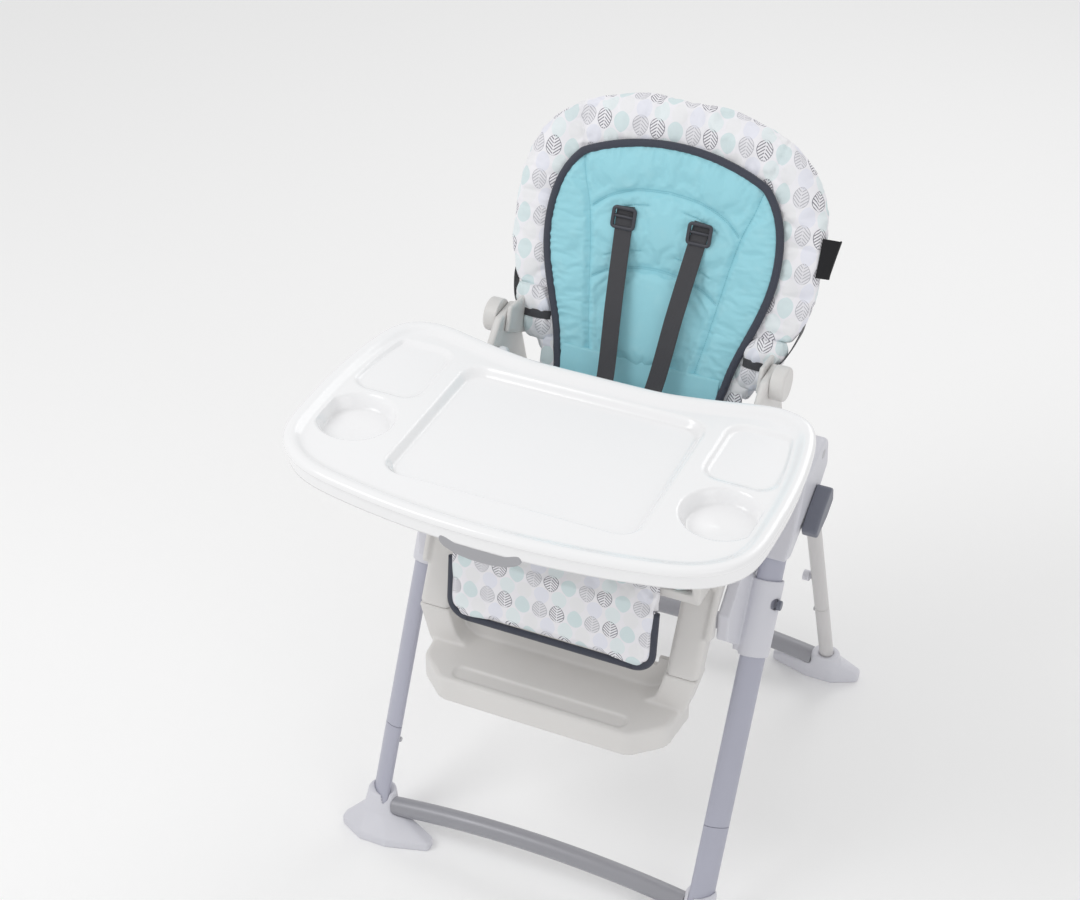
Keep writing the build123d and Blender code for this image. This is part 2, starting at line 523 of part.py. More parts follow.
HANDLE_Z = 96.0
elastic_bar = block(-PAD_HALF + 40, PAD_HALF - 40, PAD_THICK + SHELL_THICK + 0.4, PAD_THICK + SHELL_THICK + 2.4,
                    -92, -76)
save(back_place * elastic_bar, "back_elastic")
TAG_OUT = 16.0
tag = block(PAD_HALF + 0.3, PAD_HALF + TAG_OUT, 14, 16, -27, 27)
save(back_place * tag, "fabric_tag")

handle = back_slab(Pos(0, HANDLE_Z) * RectangleRounded(88, 30, 10), PAD_THICK + SHELL_THICK + 6.5, 12)
handle = fillet(handle.edges().group_by(Axis.Y)[-1], 4)
save(back_place * handle, "recline_handle")
mount_plate = back_slab(Pos(0, HANDLE_Z - 26) * RectangleRounded(110, 18, 5), PAD_THICK + SHELL_THICK + 0.1, 9)
save(back_place * mount_plate, "recline_bracket")

# ---- tray ----
TRAY_FRONT = -HALF_DEPTH
TRAY_REAR = 6.0
TRAY_MID = (TRAY_FRONT + TRAY_REAR) / 2
TRAY_DEEP = (TRAY_REAR - TRAY_FRONT) / 2
tray_edge = [(0, TRAY_FRONT), (205, TRAY_FRONT + 20), (268, TRAY_FRONT + 40), (312, TRAY_FRONT + 84),
             (TRAY_HALF, TRAY_FRONT + 150), (313, TRAY_REAR - 76), (284, TRAY_REAR - 12), (244, TRAY_REAR),
             (190, TRAY_REAR - 10), (120, TRAY_REAR - 25), (0, TRAY_REAR - 30)]


def tray_outline(inset):
    """The tray's outline seen from above, moved inwards by an inset."""
    across = 1 - inset / TRAY_HALF
    along = 1 - inset / TRAY_DEEP
    right = [(x * across, TRAY_MID + (y - TRAY_MID) * along) for x, y in tray_edge]
    left = [(-x, y) for x, y in right]
    curve_right = Spline(*right, tangents=[(1, 0), (-1, 0)])
    curve_left = Spline(*left, tangents=[(-1, 0), (1, 0)])
    return make_face(Curve() + [curve_right, curve_left])


def tray_recess(grow):
    """The plate recess seen from above."""
    front = [(-168 - grow, -310 - grow), (168 + grow, -310 - grow)]
    rear = [(166 + grow, -62 + grow), (-166 - grow, -62 + grow)]
    return rounded(front + rear, 26 + grow)


SKIRT_LOW = TRAY_TOP - TRAY_SKIRT
FLOOR_Z = TRAY_TOP - 7.0
PLATE = 3.0
top = extrude(Plane.XY.offset(SKIRT_LOW) * tray_outline(0), TRAY_SKIRT)
top -= extrude(Plane.XY.offset(FLOOR_Z) * tray_outline(16), 20)
top -= extrude(Plane.XY.offset(SKIRT_LOW - 1) * tray_outline(4), FLOOR_Z - PLATE - SKIRT_LOW + 1)
RECESS_DEPTH = 11.0
top += extrude(Plane.XY.offset(FLOOR_Z - RECESS_DEPTH - PLATE) * tray_recess(PLATE), RECESS_DEPTH + 1)
top -= extrude(Plane.XY.offset(FLOOR_Z - RECESS_DEPTH) * tray_recess(0), 30)
for sign in (1, -1):
    top += Pos(sign * CUP_X, CUP_Y, FLOOR_Z - (CUP_DEPTH + PLATE) / 2) * Cylinder(CUP_R + 3, CUP_DEPTH + PLATE)
for sign in (1, -1):
    top -= Pos(sign * CUP_X, CUP_Y, FLOOR_Z + 10 - CUP_DEPTH / 2) * Cylinder(CUP_R, CUP_DEPTH + 20)
save(top, "tray_top")

# Tray base: a plate under the top with channels that hold the armrest rails.
base_low = ARM_TOP + 14 + GAP
base = block(-SEAT_HALF - 16, SEAT_HALF + 16, -330, -80, base_low, base_low + 5)
base = fillet(base.edges().filter_by(Axis.Z), 20)
channel = block(SEAT_HALF + 8 + GAP, SEAT_HALF + 14, -320, -90, ARM_TOP - 4, base_low + 1)
channel += block(SEAT_HALF + 0.6, SEAT_HALF + 14, -320, -90, ARM_TOP - 4, ARM_TOP - 0.5)
post = block(60, 90, -300, -120, base_low + 4, FLOOR_Z - RECESS_DEPTH - PLATE - 0.4)
base += channel + mirrored(channel) + post + mirrored(post)
base += block(-70, 70, -352, -326, base_low, base_low + 5)
save(base, "tray_base")

# Tray lever: a crescent grip that hangs below the tray's front skirt.
GRIP_HALF = 55.0
GRIP_HANG = 20.0
crescent = extrude(Plane.XZ.offset(-TRAY_FRONT - 26) * (Pos(0, SKIRT_LOW) * Ellipse(GRIP_HALF, GRIP_HANG)), 22)
crescent &= block(-GRIP_HALF, GRIP_HALF, TRAY_FRONT + 5.5, TRAY_FRONT + 26, SKIRT_LOW - GRIP_HANG, SKIRT_LOW + 7)
save(crescent, "tray_lever")
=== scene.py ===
import json
import math
from functools import partialmethod

import bmesh
import bpy
import numpy as np
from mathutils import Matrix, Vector
from mathutils.bvhtree import BVHTree


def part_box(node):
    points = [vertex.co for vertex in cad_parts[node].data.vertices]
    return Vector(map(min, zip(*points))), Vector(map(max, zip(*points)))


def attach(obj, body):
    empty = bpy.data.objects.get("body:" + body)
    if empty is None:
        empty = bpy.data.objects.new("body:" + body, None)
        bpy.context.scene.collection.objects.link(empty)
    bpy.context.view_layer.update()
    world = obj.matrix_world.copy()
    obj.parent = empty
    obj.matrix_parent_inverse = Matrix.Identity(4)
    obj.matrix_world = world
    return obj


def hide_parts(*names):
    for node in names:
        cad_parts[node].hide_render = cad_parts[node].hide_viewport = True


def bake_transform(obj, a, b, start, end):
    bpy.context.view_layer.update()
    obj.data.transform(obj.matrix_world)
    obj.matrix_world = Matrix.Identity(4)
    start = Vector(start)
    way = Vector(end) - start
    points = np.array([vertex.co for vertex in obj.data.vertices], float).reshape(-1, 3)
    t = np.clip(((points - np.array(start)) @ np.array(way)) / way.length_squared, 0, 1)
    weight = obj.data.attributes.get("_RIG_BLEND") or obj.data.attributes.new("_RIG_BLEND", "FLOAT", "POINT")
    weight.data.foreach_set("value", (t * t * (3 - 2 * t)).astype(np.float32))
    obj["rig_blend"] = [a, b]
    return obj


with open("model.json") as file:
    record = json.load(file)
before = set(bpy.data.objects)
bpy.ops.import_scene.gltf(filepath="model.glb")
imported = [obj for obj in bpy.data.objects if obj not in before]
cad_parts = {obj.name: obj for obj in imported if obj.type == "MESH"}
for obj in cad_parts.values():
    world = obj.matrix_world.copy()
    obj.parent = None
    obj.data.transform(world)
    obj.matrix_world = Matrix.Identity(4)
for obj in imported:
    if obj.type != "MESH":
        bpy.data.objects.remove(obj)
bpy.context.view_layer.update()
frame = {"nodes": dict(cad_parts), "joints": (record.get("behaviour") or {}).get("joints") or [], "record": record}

# Baby high chair: the looks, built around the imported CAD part. Metres, +Z up, the child faces -Y.

scene = bpy.context.scene
nodes = frame["nodes"]
joints = {joint["name"]: joint for joint in frame["joints"]}
openings = {opening["name"]: opening["box_m"] for opening in frame["record"]["physics"]["openings"]}
SIDES = (("left", 1), ("right", -1))
ACROSS = Vector((1, 0, 0))
FORWARD = Vector((0, -1, 0))
UP = Vector((0, 0, 1))
MM = 0.001


# -------- measuring the frame

def per_vertex(mesh, what):
    """One vector for each vertex of a mesh: its place or its normal."""
    values = np.zeros(len(mesh.vertices) * 3)
    mesh.vertices.foreach_get(what, values)
    return values.reshape(-1, 3)


def corners_of(node):
    return per_vertex(nodes[node].data, "co")


def span(node, axis):
    """Lowest and highest place of a CAD node along an axis."""
    along = corners_of(node) @ np.array(axis)
    return along.min(), along.max()


def tree_of(mesh):
    return BVHTree.FromPolygons([v.co for v in mesh.vertices], [p.vertices[:] for p in mesh.polygons])


def silhouette(node, centre, u, v, count):
    """Points where rays from outside, in the plane of u and v, first meet a CAD node."""
    tree = tree_of(nodes[node].data)
    points = []
    for step in range(count):
        angle = 2 * math.pi * step / count
        ray = u * math.cos(angle) + v * math.sin(angle)
        points.append(tree.ray_cast(centre + ray, -ray)[0])
    return points


# The backrest is drawn in its own frame: x across, n behind the pad's front plane, s up the back.
BACK_UP = Vector(joints["recline_squeeze"]["axis"]).normalized()
BACK_OUT = Vector((0, BACK_UP.z, -BACK_UP.y))
PAD_BORDER = 5.5 * MM       # the pad's border stands this far behind the front plane in CAD
PAD_CROWN = 168 * MM        # top of the pad above the frame's zero height
BACK_N = span("back_pad", BACK_OUT)[0] - PAD_BORDER
BACK_S = span("back_pad", BACK_UP)[1] - PAD_CROWN


def on_back(x, n, s):
    return ACROSS * x + BACK_OUT * (BACK_N + n) + BACK_UP * (BACK_S + s)


def back_frame(points):
    """x, n and s of points given in the row frame."""
    behind = points @ np.array(BACK_OUT) - BACK_N
    return np.stack([points[:, 0], behind, points @ np.array(BACK_UP) - BACK_S], 1)


def as_rows(vectors):
    return np.array([tuple(vector) for vector in vectors])


# -------- mesh building

def add_object(name, data):
    made = bpy.data.objects.new(name, data)
    scene.collection.objects.link(made)
    return made


def add_piece(name, vertices, faces):
    mesh = bpy.data.meshes.new(name)
    mesh.from_pydata([tuple(v) for v in vertices], [], faces)
    mesh.polygons.foreach_set("use_smooth", [True] * len(mesh.polygons))
    return add_object(name, mesh)


def face_outwards(piece):
    builder = bmesh.new()
    builder.from_mesh(piece.data)
    bmesh.ops.recalc_face_normals(builder, faces=builder.faces)
    builder.to_mesh(piece.data)
    builder.free()


def stamp(piece, coordinates):
    """Stores where each vertex lies on the flat cloth, in metres, for the cloth materials."""
    attributes = piece.data.attributes
    attribute = attributes.get("cloth") or attributes.new("cloth", "FLOAT_VECTOR", "POINT")
    flat = np.zeros((len(piece.data.vertices), 3), np.float32)
    flat[:, :coordinates.shape[1]] = coordinates
    attribute.data.foreach_set("vector", flat.ravel())


def vertices_of(piece):
    return per_vertex(piece.data, "co")


def move_to(piece, points):
    piece.data.vertices.foreach_set("co", np.asarray(points, np.float32).ravel())
    piece.data.update()


def normals_of(piece):
    return per_vertex(piece.data, "normal")


def lengths_along(path):
    """How far along a path each of its points is."""
    return np.concatenate([[0], np.cumsum(np.linalg.norm(np.diff(path, axis=0), axis=1))])


def smooth_path(points, spacing, closed=False):
    """A Catmull-Rom curve through points, evenly spaced."""
    controls = [Vector(p) for p in points]
    if closed:
        controls = [controls[-1], *controls, controls[0], controls[1]]
    else:
        controls = [2 * controls[0] - controls[1], *controls, 2 * controls[-1] - controls[-2]]
    fine = []
    for a, b, c, d in zip(controls, controls[1:], controls[2:], controls[3:]):
        for step in range(12):
            t = step / 12
            fine.append(0.5 * (2 * b + (c - a) * t + (2 * a - 5 * b + 4 * c - d) * t * t
                               + (3 * b - a - 3 * c + d) * t ** 3))
    fine.append(controls[-2])
    path = as_rows(fine)
    along = lengths_along(path)
    count = max(2, int(round(along[-1] / spacing)) + 1)
    places = np.linspace(0, along[-1], count)
    if closed:
        places = places[:-1]
    return np.stack([np.interp(places, along, path[:, k]) for k in range(3)], 1)


def side_faces(rings, around, first=0, closed=False):
    """The faces between neighbouring rings of vertices, and from the last to the first one if closed."""
    faces = []
    for index in range(rings if closed else rings - 1):
        here = first + index * around
        there = first + (index + 1) % rings * around
        for turn in range(around):
            other = (turn + 1) % around
            faces.append((here + turn, here + other, there + other, there + turn))
    return faces


def superellipse(turn, around, power):
    """One of the points round a superellipse of half width and half height 1."""
    angle = 2 * math.pi * turn / around
    return [math.copysign(abs(part) ** (2 / power), part) for part in (math.cos(angle), math.sin(angle))]


def ribbon(name, path, across, half_width, half_thick, power, closed=False, around=14):
    """A band along a path, with a superellipse as its section: power 2 is round, more is flatter."""
    count = len(path)
    if closed:
        tangents = np.roll(path, -1, 0) - np.roll(path, 1, 0)
    else:
        tangents = np.gradient(path, axis=0)
    tangents /= np.linalg.norm(tangents, axis=1)[:, None]
    across = np.broadcast_to(np.array(across, float), path.shape)
    across = across - (across * tangents).sum(1)[:, None] * tangents
    across = across / np.linalg.norm(across, axis=1)[:, None]
    normals = np.cross(tangents, across)
    along = lengths_along(path)
    vertices = []
    flat = []
    for index in range(count):
        for turn in range(around):
            wide, thick = superellipse(turn, around, power)
            wide *= half_width
            thick *= half_thick
            vertices.append(path[index] + across[index] * wide + normals[index] * thick)
            flat.append((wide, along[index]))
    faces = side_faces(count, around, closed=closed)
    if not closed:
        faces.append(tuple(range(around))[::-1])
        faces.append(tuple(range((count - 1) * around, count * around)))
    piece = add_piece(name, vertices, faces)
    face_outwards(piece)
    stamp(piece, np.array(flat))
    return piece


def loft(name, rings):
    """A closed body through rings of the same number of points."""
    around = len(rings[0])
    vertices = [point for ring in rings for point in ring]
    faces = side_faces(len(rings), around)
    faces.append(tuple(range(around))[::-1])
    faces.append(tuple(range(len(vertices) - around, len(vertices))))
    piece = add_piece(name, vertices, faces)
    face_outwards(piece)
    return piece


def copy_of(node, name):
    """A loose copy of a CAD node, welded into closed shells."""
    mesh = nodes[node].data.copy()
    mesh.materials.clear()
    builder = bmesh.new()
    builder.from_mesh(mesh)
    bmesh.ops.remove_doubles(builder, verts=builder.verts, dist=1e-6)
    builder.to_mesh(mesh)
    builder.free()
    return add_object(name, mesh)


def bake_modifiers(piece):
    """Replaces a piece's mesh by what its modifiers make of it."""
    graph = bpy.context.evaluated_depsgraph_get()
    made = bpy.data.meshes.new_from_object(piece.evaluated_get(graph))
    piece.modifiers.clear()
    piece.data = made
    made.name = piece.name
    made.polygons.foreach_set("use_smooth", [True] * len(made.polygons))


def voxels(piece, size):
    grid = piece.modifiers.new("voxels", "REMESH")
    grid.mode = "VOXEL"
    grid.voxel_size = size
    grid.use_smooth_shade = True


def relax(piece, rounds):
    smooth = piece.modifiers.new("relax", "SMOOTH")
    smooth.factor = 0.5
    smooth.iterations = rounds


def remesh(piece, size, rounds):
    voxels(piece, size)
    relax(piece, rounds)
    bake_modifiers(piece)


def soften(node, size, rounds):
    """Rounds the edges of a CAD node as moulding does, by modifiers on the node."""
    weld = nodes[node].modifiers.new("weld", "WELD")
    weld.merge_threshold = 1e-6
    voxels(nodes[node], size)
    relax(nodes[node], rounds)


# -------- soft goods

def distance_to(points, lines):
    """Distance of points to the nearest of some polylines, and how far along it that is."""
    best = np.full(len(points), 1e9)
    along = np.zeros(len(points))
    for line in lines:
        line = np.array(line, float)
        run = 0.0
        for a, b in zip(line, line[1:]):
            step = b - a
            length = np.linalg.norm(step)
            t = np.clip((points - a) @ step / length ** 2, 0, 1)
            gap = np.linalg.norm(points - a - t[:, None] * step, axis=1)
            nearer = gap < best
            best[nearer] = gap[nearer]
            along[nearer] = run + t[nearer] * length
            run += length
    return best, along


def inflate(piece, held, pressure, cap, shrink, frames=20):
    """Blows a closed piece up as a cushion by cloth simulation, nowhere by more than cap.

    held is 1 where the piece is sewn down and 0 where it is free.
    """
    start = vertices_of(piece)
    group = piece.vertex_groups.new(name="held")
    group.add([int(i) for i in np.nonzero(held > 0.5)[0]], 1.0, "REPLACE")
    cloth = piece.modifiers.new("cloth", "CLOTH")
    cloth.settings.quality = 4
    cloth.settings.mass = 0.3
    cloth.settings.use_pressure = True
    cloth.settings.uniform_pressure_force = pressure
    cloth.settings.shrink_min = shrink
    cloth.settings.tension_stiffness = 12
    cloth.settings.compression_stiffness = 12
    cloth.settings.bending_stiffness = 0.4
    cloth.settings.effector_weights.gravity = 0
    cloth.settings.vertex_group_mass = "held"
    cloth.point_cache.frame_start = 1
    cloth.point_cache.frame_end = frames
    for number in range(1, frames + 1):
        scene.frame_set(number)
    graph = bpy.context.evaluated_depsgraph_get()
    made = bpy.data.meshes.new_from_object(piece.evaluated_get(graph))
    shift = per_vertex(made, "co") - start
    size = np.linalg.norm(shift, axis=1)
    limit = np.minimum(1, cap / np.maximum(size, 1e-9))
    piece.modifiers.clear()
    bpy.data.meshes.remove(made)
    move_to(piece, start + shift * limit[:, None])
    scene.frame_set(1)


def subdivide(piece):
    levels = piece.modifiers.new("subdivision", "SUBSURF")
    levels.levels = 1
    levels.render_levels = 1
    relax(piece, 1)
    bake_modifiers(piece)


def sew(piece, flat, lines, inwards, depth, width, pucker, pitch):
    """Pulls a seam into a piece along lines on its flat cloth, with small gathers beside it.

    A depth of 0 leaves the gathers alone.
    """
    gap, along = distance_to(flat, lines)
    groove = np.exp(-(gap / width) ** 2)
    beside = np.exp(-(gap / (4.5 * width)) ** 2) * (1 - groove)
    wave = np.sin(along * 2 * math.pi / pitch + 2.1 * np.sin(along * 2 * math.pi / (pitch * 3.7)))
    shift = depth * groove + pucker * beside * wave
    points = vertices_of(piece)
    move_to(piece, points + np.asarray(inwards) * shift[:, None])


def stitches(name, path, normals, length, pitch, radius):
    """A run of sewing thread: one small rounded stitch after another along a path."""
    along = lengths_along(path)
    vertices = []
    faces = []
    around = 6
    profile = ((0.0, 0.35), (0.2, 0.9), (0.5, 1.0), (0.8, 0.9), (1.0, 0.35))
    for place in np.arange(pitch / 2, along[-1] - length, pitch):
        start, end = [np.array([np.interp(place + shift, along, column) for column in path.T])
                      for shift in (0, length)]
        lift = np.array([np.interp(place, along, column) for column in normals.T])
        side = np.cross(end - start, lift)
        side /= np.linalg.norm(side)
        first = len(vertices)
        for t, thick in profile:
            bulge = 0.9 * math.sin(math.pi * t) - 0.35
            middle = start + (end - start) * t + lift * radius * bulge
            for turn in range(around):
                across, up = superellipse(turn, around, 2)
                vertices.append(middle + radius * thick * (side * across + lift * up))
        faces += side_faces(len(profile), around, first)
        faces.append(tuple(range(first, first + around))[::-1])
        faces.append(tuple(range(len(vertices) - around, len(vertices))))
    return add_piece(name, vertices, faces)


# -------- materials

def colour(red, green, blue):
    """A linear colour from an sRGB one on a scale of 255."""
    linear = []
    for part in (red, green, blue):
        share = part / 255
        linear.append(share / 12.92 if share < 0.04045 else ((share + 0.055) / 1.055) ** 2.4)
    return (*linear, 1.0)


class Field:
    """A number that varies over a surface. Arithmetic on it adds Math nodes to its material."""

    def __init__(self, tree, socket):
        self.tree = tree
        self.socket = socket

    def math(self, operation, *others):
        node = self.tree.nodes.new("ShaderNodeMath")
        node.operation = operation
        for place, value in zip(node.inputs, (self, *others)):
            if isinstance(value, Field):
                self.tree.links.new(value.socket, place)
            else:
                place.default_value = value
        return Field(self.tree, node.outputs[0])

    def __rsub__(self, other):
        return (self * -1.0) + other

    def ramp(self, low, high):
        """0 below low, 1 above high, smooth between."""
        node = self.tree.nodes.new("ShaderNodeMapRange")
        node.interpolation_type = "SMOOTHSTEP"
        self.tree.links.new(self.socket, node.inputs["Value"])
        node.inputs["From Min"].default_value = min(low, high)
        node.inputs["From Max"].default_value = max(low, high)
        node.inputs["To Min"].default_value = 0.0 if low < high else 1.0
        node.inputs["To Max"].default_value = 1.0 if low < high else 0.0
        return Field(self.tree, node.outputs["Result"])


for method, operation in {"__add__": "ADD", "__sub__": "SUBTRACT", "__mul__": "MULTIPLY",
                          "__truediv__": "DIVIDE", "modulo": "FLOORED_MODULO", "power": "POWER",
                          "abs": "ABSOLUTE", "sin": "SINE", "floor": "FLOOR", "fract": "FRACT",
                          "largest": "MAXIMUM"}.items():
    setattr(Field, method, partialmethod(Field.math, operation))


class Finish:
    """A material under construction."""

    def __init__(self, name, base, roughness, **sockets):
        self.material = bpy.data.materials.new(name)
        self.material.use_nodes = True
        self.tree = self.material.node_tree
        self.link = self.tree.links.new
        self.shader = self.tree.nodes["Principled BSDF"]
        self.shader.inputs["Base Color"].default_value = base
        self.shader.inputs["Roughness"].default_value = roughness
        for socket, value in sockets.items():
            self.shader.inputs[socket.replace("_", " ")].default_value = value

    def node(self, kind):
        return self.tree.nodes.new("ShaderNode" + kind)

    def place(self):
        """Where a point is on its piece, in metres."""
        return self.node("TexCoord").outputs["Object"]

    def cloth(self):
        """Where a point is on the flat cloth: as a vector, and its parts across and along."""
        node = self.node("Attribute")
        node.attribute_name = "cloth"
        flat = node.outputs["Vector"]
        return flat, *self.parts(flat)[:2]

    def parts(self, vector):
        node = self.node("SeparateXYZ")
        self.link(vector, node.inputs[0])
        return [Field(self.tree, output) for output in node.outputs]

    def noise(self, vector, scale, detail=3.0, rough=0.5):
        node = self.node("TexNoise")
        self.link(vector, node.inputs["Vector"])
        node.inputs["Scale"].default_value = scale
        node.inputs["Detail"].default_value = detail
        node.inputs["Roughness"].default_value = rough
        return Field(self.tree, node.outputs[0])

    def chance(self, x, y):
        """A steady random number for each cell of a grid."""
        join = self.node("CombineXYZ")
        self.link(x.socket, join.inputs[0])
        self.link(y.socket, join.inputs[1])
        node = self.node("TexWhiteNoise")
        node.noise_dimensions = "2D"
        self.link(join.outputs[0], node.inputs["Vector"])
        return Field(self.tree, node.outputs["Value"])

    def paint(self, share, tint):
        """Lays a colour over what the base colour is so far, by a share of 0 to 1."""
        node = self.node("Mix")
        node.data_type = "RGBA"
        below, above = [socket for socket in node.inputs if socket.type == "RGBA"]
        result = next(socket for socket in node.outputs if socket.type == "RGBA")
        target = self.shader.inputs["Base Color"]
        if target.is_linked:
            self.link(target.links[0].from_socket, below)
        else:
            below.default_value = target.default_value
        above.default_value = tint
        self.link(share.socket, node.inputs[0])
        self.link(result, target)

    def roughen(self, field):
        self.link(field.socket, self.shader.inputs["Roughness"])

    def bump(self, height, distance, strength=1.0):
        """Adds relief on top of any there already."""
        node = self.node("Bump")
        node.inputs["Distance"].default_value = distance
        node.inputs["Strength"].default_value = strength
        self.link(height.socket, node.inputs["Height"])
        target = self.shader.inputs["Normal"]
        if target.is_linked:
            self.link(target.links[0].from_socket, node.inputs["Normal"])
        self.link(node.outputs[0], target)


def darker(tint, share):
    return (*[part * share for part in tint[:3]], 1.0)


def moulded(name, base, roughness, grain=1.0):
    """Moulded plastic: a fine spark-eroded grain, slow changes of shade, rubbed spots a little smoother."""
    finish = Finish(name, base, roughness, Specular_IOR_Level=0.42)
    where = finish.place()
    cloudy = finish.noise(where, 9, 4)
    finish.paint(cloudy.ramp(0.35, 0.75) * 0.16, darker(base, 0.82))
    rubbed = finish.noise(where, 28, 5, 0.65)
    finish.roughen(rubbed * 0.16 + (roughness - 0.08))
    specks = finish.noise(where, 1500, 2)
    finish.bump(specks, 0.00012 * grain, 0.6)
    waves = finish.noise(where, 55, 2)
    finish.bump(waves, 0.0006, 0.25)
    return finish.material


def powder_coat(name, base):
    """Satin powder coat on steel tube: orange peel, a thin clear coat, faint dust lines."""
    finish = Finish(name, base, 0.36, Metallic=0.12, Coat_Weight=0.25, Coat_Roughness=0.22)
    where = finish.place()
    peel = finish.noise(where, 420, 2)
    finish.bump(peel, 0.00025, 0.35)
    cloudy = finish.noise(where, 14, 4)
    finish.paint(cloudy.ramp(0.4, 0.8) * 0.14, darker(base, 0.8))
    finish.roughen(cloudy * 0.14 + 0.3)
    rub = finish.noise(where, 130, 6, 0.7)
    finish.paint(rub.ramp(0.66, 0.74) * 0.25, darker(base, 1.22))
    return finish.material


def tray_gloss(name, base):
    """Polished white plastic with faint wiping marks."""
    finish = Finish(name, base, 0.2, Coat_Weight=0.35, Coat_Roughness=0.06, Specular_IOR_Level=0.5)
    where = finish.place()
    wipes = finish.noise(where, 36, 6, 0.7)
    finish.roughen(wipes * 0.14 + 0.13)
    soft = finish.noise(where, 30, 1)
    finish.bump(soft, 0.0005, 0.12)
    finish.paint(finish.noise(where, 5, 3).ramp(0.4, 0.8) * 0.1, darker(base, 0.94))
    return finish.material


def weave(finish, u, v, pitch, depth, strength):
    """Plain weave: threads over and under one another."""
    turn = 2 * math.pi / pitch
    over = (u * turn).sin() * (v * turn).sin()
    ribs = (u * (2 * turn)).sin().abs() + (v * (2 * turn)).sin().abs()
    finish.bump(over * 0.6 + ribs * 0.3, depth, strength)


def teal_satin(name, base):
    """Plain satin with slubs and soft creases, with a painted highlight on the crease crests."""
    finish = Finish(name, base, 0.5, Sheen_Weight=0.35, Sheen_Roughness=0.35, Specular_IOR_Level=0.35)
    finish.shader.inputs["Sheen Tint"].default_value = colour(225, 244, 248)
    flat, u, v = finish.cloth()
    weave(finish, u, v, 0.9 * MM, 0.00012, 0.5)
    slub = finish.noise(flat, 420, 3)
    finish.bump(slub, 0.0003, 0.25)
    crease = finish.noise(flat, 38, 3, 0.55)
    finish.bump(crease, 0.0022, 0.35)
    shade = finish.noise(flat, 16, 3)
    finish.paint(shade.ramp(0.4, 0.75) * 0.35, darker(base, 0.9))
    # painted highlight: the crests of the crease relief are tinted a lighter teal
    finish.paint(crease.ramp(0.5, 0.8) * 0.22, colour(186, 230, 238))
    finish.roughen(slub * 0.16 + 0.42)
    return finish.material


LEAF_PITCH = 25.5 * MM      # from one leaf to the next in a row
LEAF_ROW = 50 * MM          # from one row of veined leaves to the next
LEAF_HALF_WIDE = 11 * MM
LEAF_HALF_TALL = 14.5 * MM
VEIN_PITCH = 4.8 * MM


def leaf_row(finish, u, v, shift):
    """One set of rows: the outline of each leaf, its drawn veins and which of three kinds it is."""
    row = (v / LEAF_ROW).floor()
    along = u / LEAF_PITCH + row * 0.4 + shift
    column = along.floor()
    x = (along.fract() - 0.5) * LEAF_PITCH + (finish.chance(column, row) - 0.5) * (1.2 * MM)
    turned = row.modulo(2.0) * 2.0 - 1.0
    y = ((v / LEAF_ROW).fract() - 0.5) * LEAF_ROW * turned
    climb = (y / LEAF_HALF_TALL + 1.0) * 0.5
    inside = climb.largest(0.0) * (1.0 - climb).largest(0.0)
    edge = inside.power(0.58) * (1.22 - climb * 0.3) * (LEAF_HALF_WIDE * 2.1) - x.abs()
    leaf = edge.ramp(0.0, 0.5 * MM)
    chevron = ((y - x.abs() * 0.9) / VEIN_PITCH).fract()
    lines = (chevron - 0.5).abs().ramp(0.2, 0.12)
    rib = x.abs().ramp(0.3 * MM, 0.9 * MM)
    rim = edge.ramp(1.3 * MM, 0.8 * MM)
    return leaf, (lines * rib).largest(rim), column.modulo(3.0)


def kinds_of(kind):
    """A mask for each of the kinds 0, 1 and 2."""
    return kind.ramp(0.6, 0.4), kind.ramp(0.4, 0.6) * kind.ramp(1.6, 1.4), kind.ramp(1.4, 1.6)


def leaf_print(name, base):
    """White polyester printed with rows of small leaves: veined grey ones with plain pale rows between."""
    finish = Finish(name, base, 0.62, Sheen_Weight=0.2, Sheen_Roughness=0.4, Specular_IOR_Level=0.3)
    flat, u, v = finish.cloth()
    leaf, _, kind = leaf_row(finish, u, v + LEAF_ROW / 2, 0.5)
    for mask, tint in zip(kinds_of(kind), ((232, 240, 242), (240, 240, 242), (235, 236, 245))):
        finish.paint(leaf * mask, colour(*tint))
    leaf, drawn, kind = leaf_row(finish, u, v, 0.0)
    mint, grey, dark = kinds_of(kind)
    finish.paint(leaf * mint, colour(218, 232, 234))
    finish.paint(leaf * grey * (drawn * 0.8 + 0.2), colour(186, 186, 192))
    finish.paint(leaf * dark * drawn, colour(104, 103, 114))
    weave(finish, u, v, 0.8 * MM, 0.0001, 0.45)
    crease = finish.noise(flat, 42, 3, 0.55)
    finish.bump(crease, 0.002, 0.3)
    shade = finish.noise(flat, 14, 2)
    finish.paint(shade.ramp(0.45, 0.8) * 0.12, colour(205, 205, 214))
    finish.roughen(shade * 0.1 + 0.56)
    return finish.material


def twill(name, base, pitch=1.1 * MM):
    """Dark binding tape with a diagonal rib, with a painted highlight on the rib crests."""
    finish = Finish(name, base, 0.7, Sheen_Weight=0.2, Sheen_Roughness=0.4, Specular_IOR_Level=0.25)
    flat, u, v = finish.cloth()
    ribs = ((u + v) * (2 * math.pi / pitch)).sin()
    finish.bump(ribs, 0.00016, 0.6)
    fuzz = finish.noise(flat, 900, 3)
    finish.bump(fuzz, 0.0002, 0.4)
    finish.paint(fuzz.ramp(0.5, 0.75) * 0.3, darker(base, 1.7))
    # painted highlight: the crests of the ribs are tinted lighter
    finish.paint(ribs.ramp(0.4, 1.0) * 0.2, darker(base, 1.4))
    return finish.material


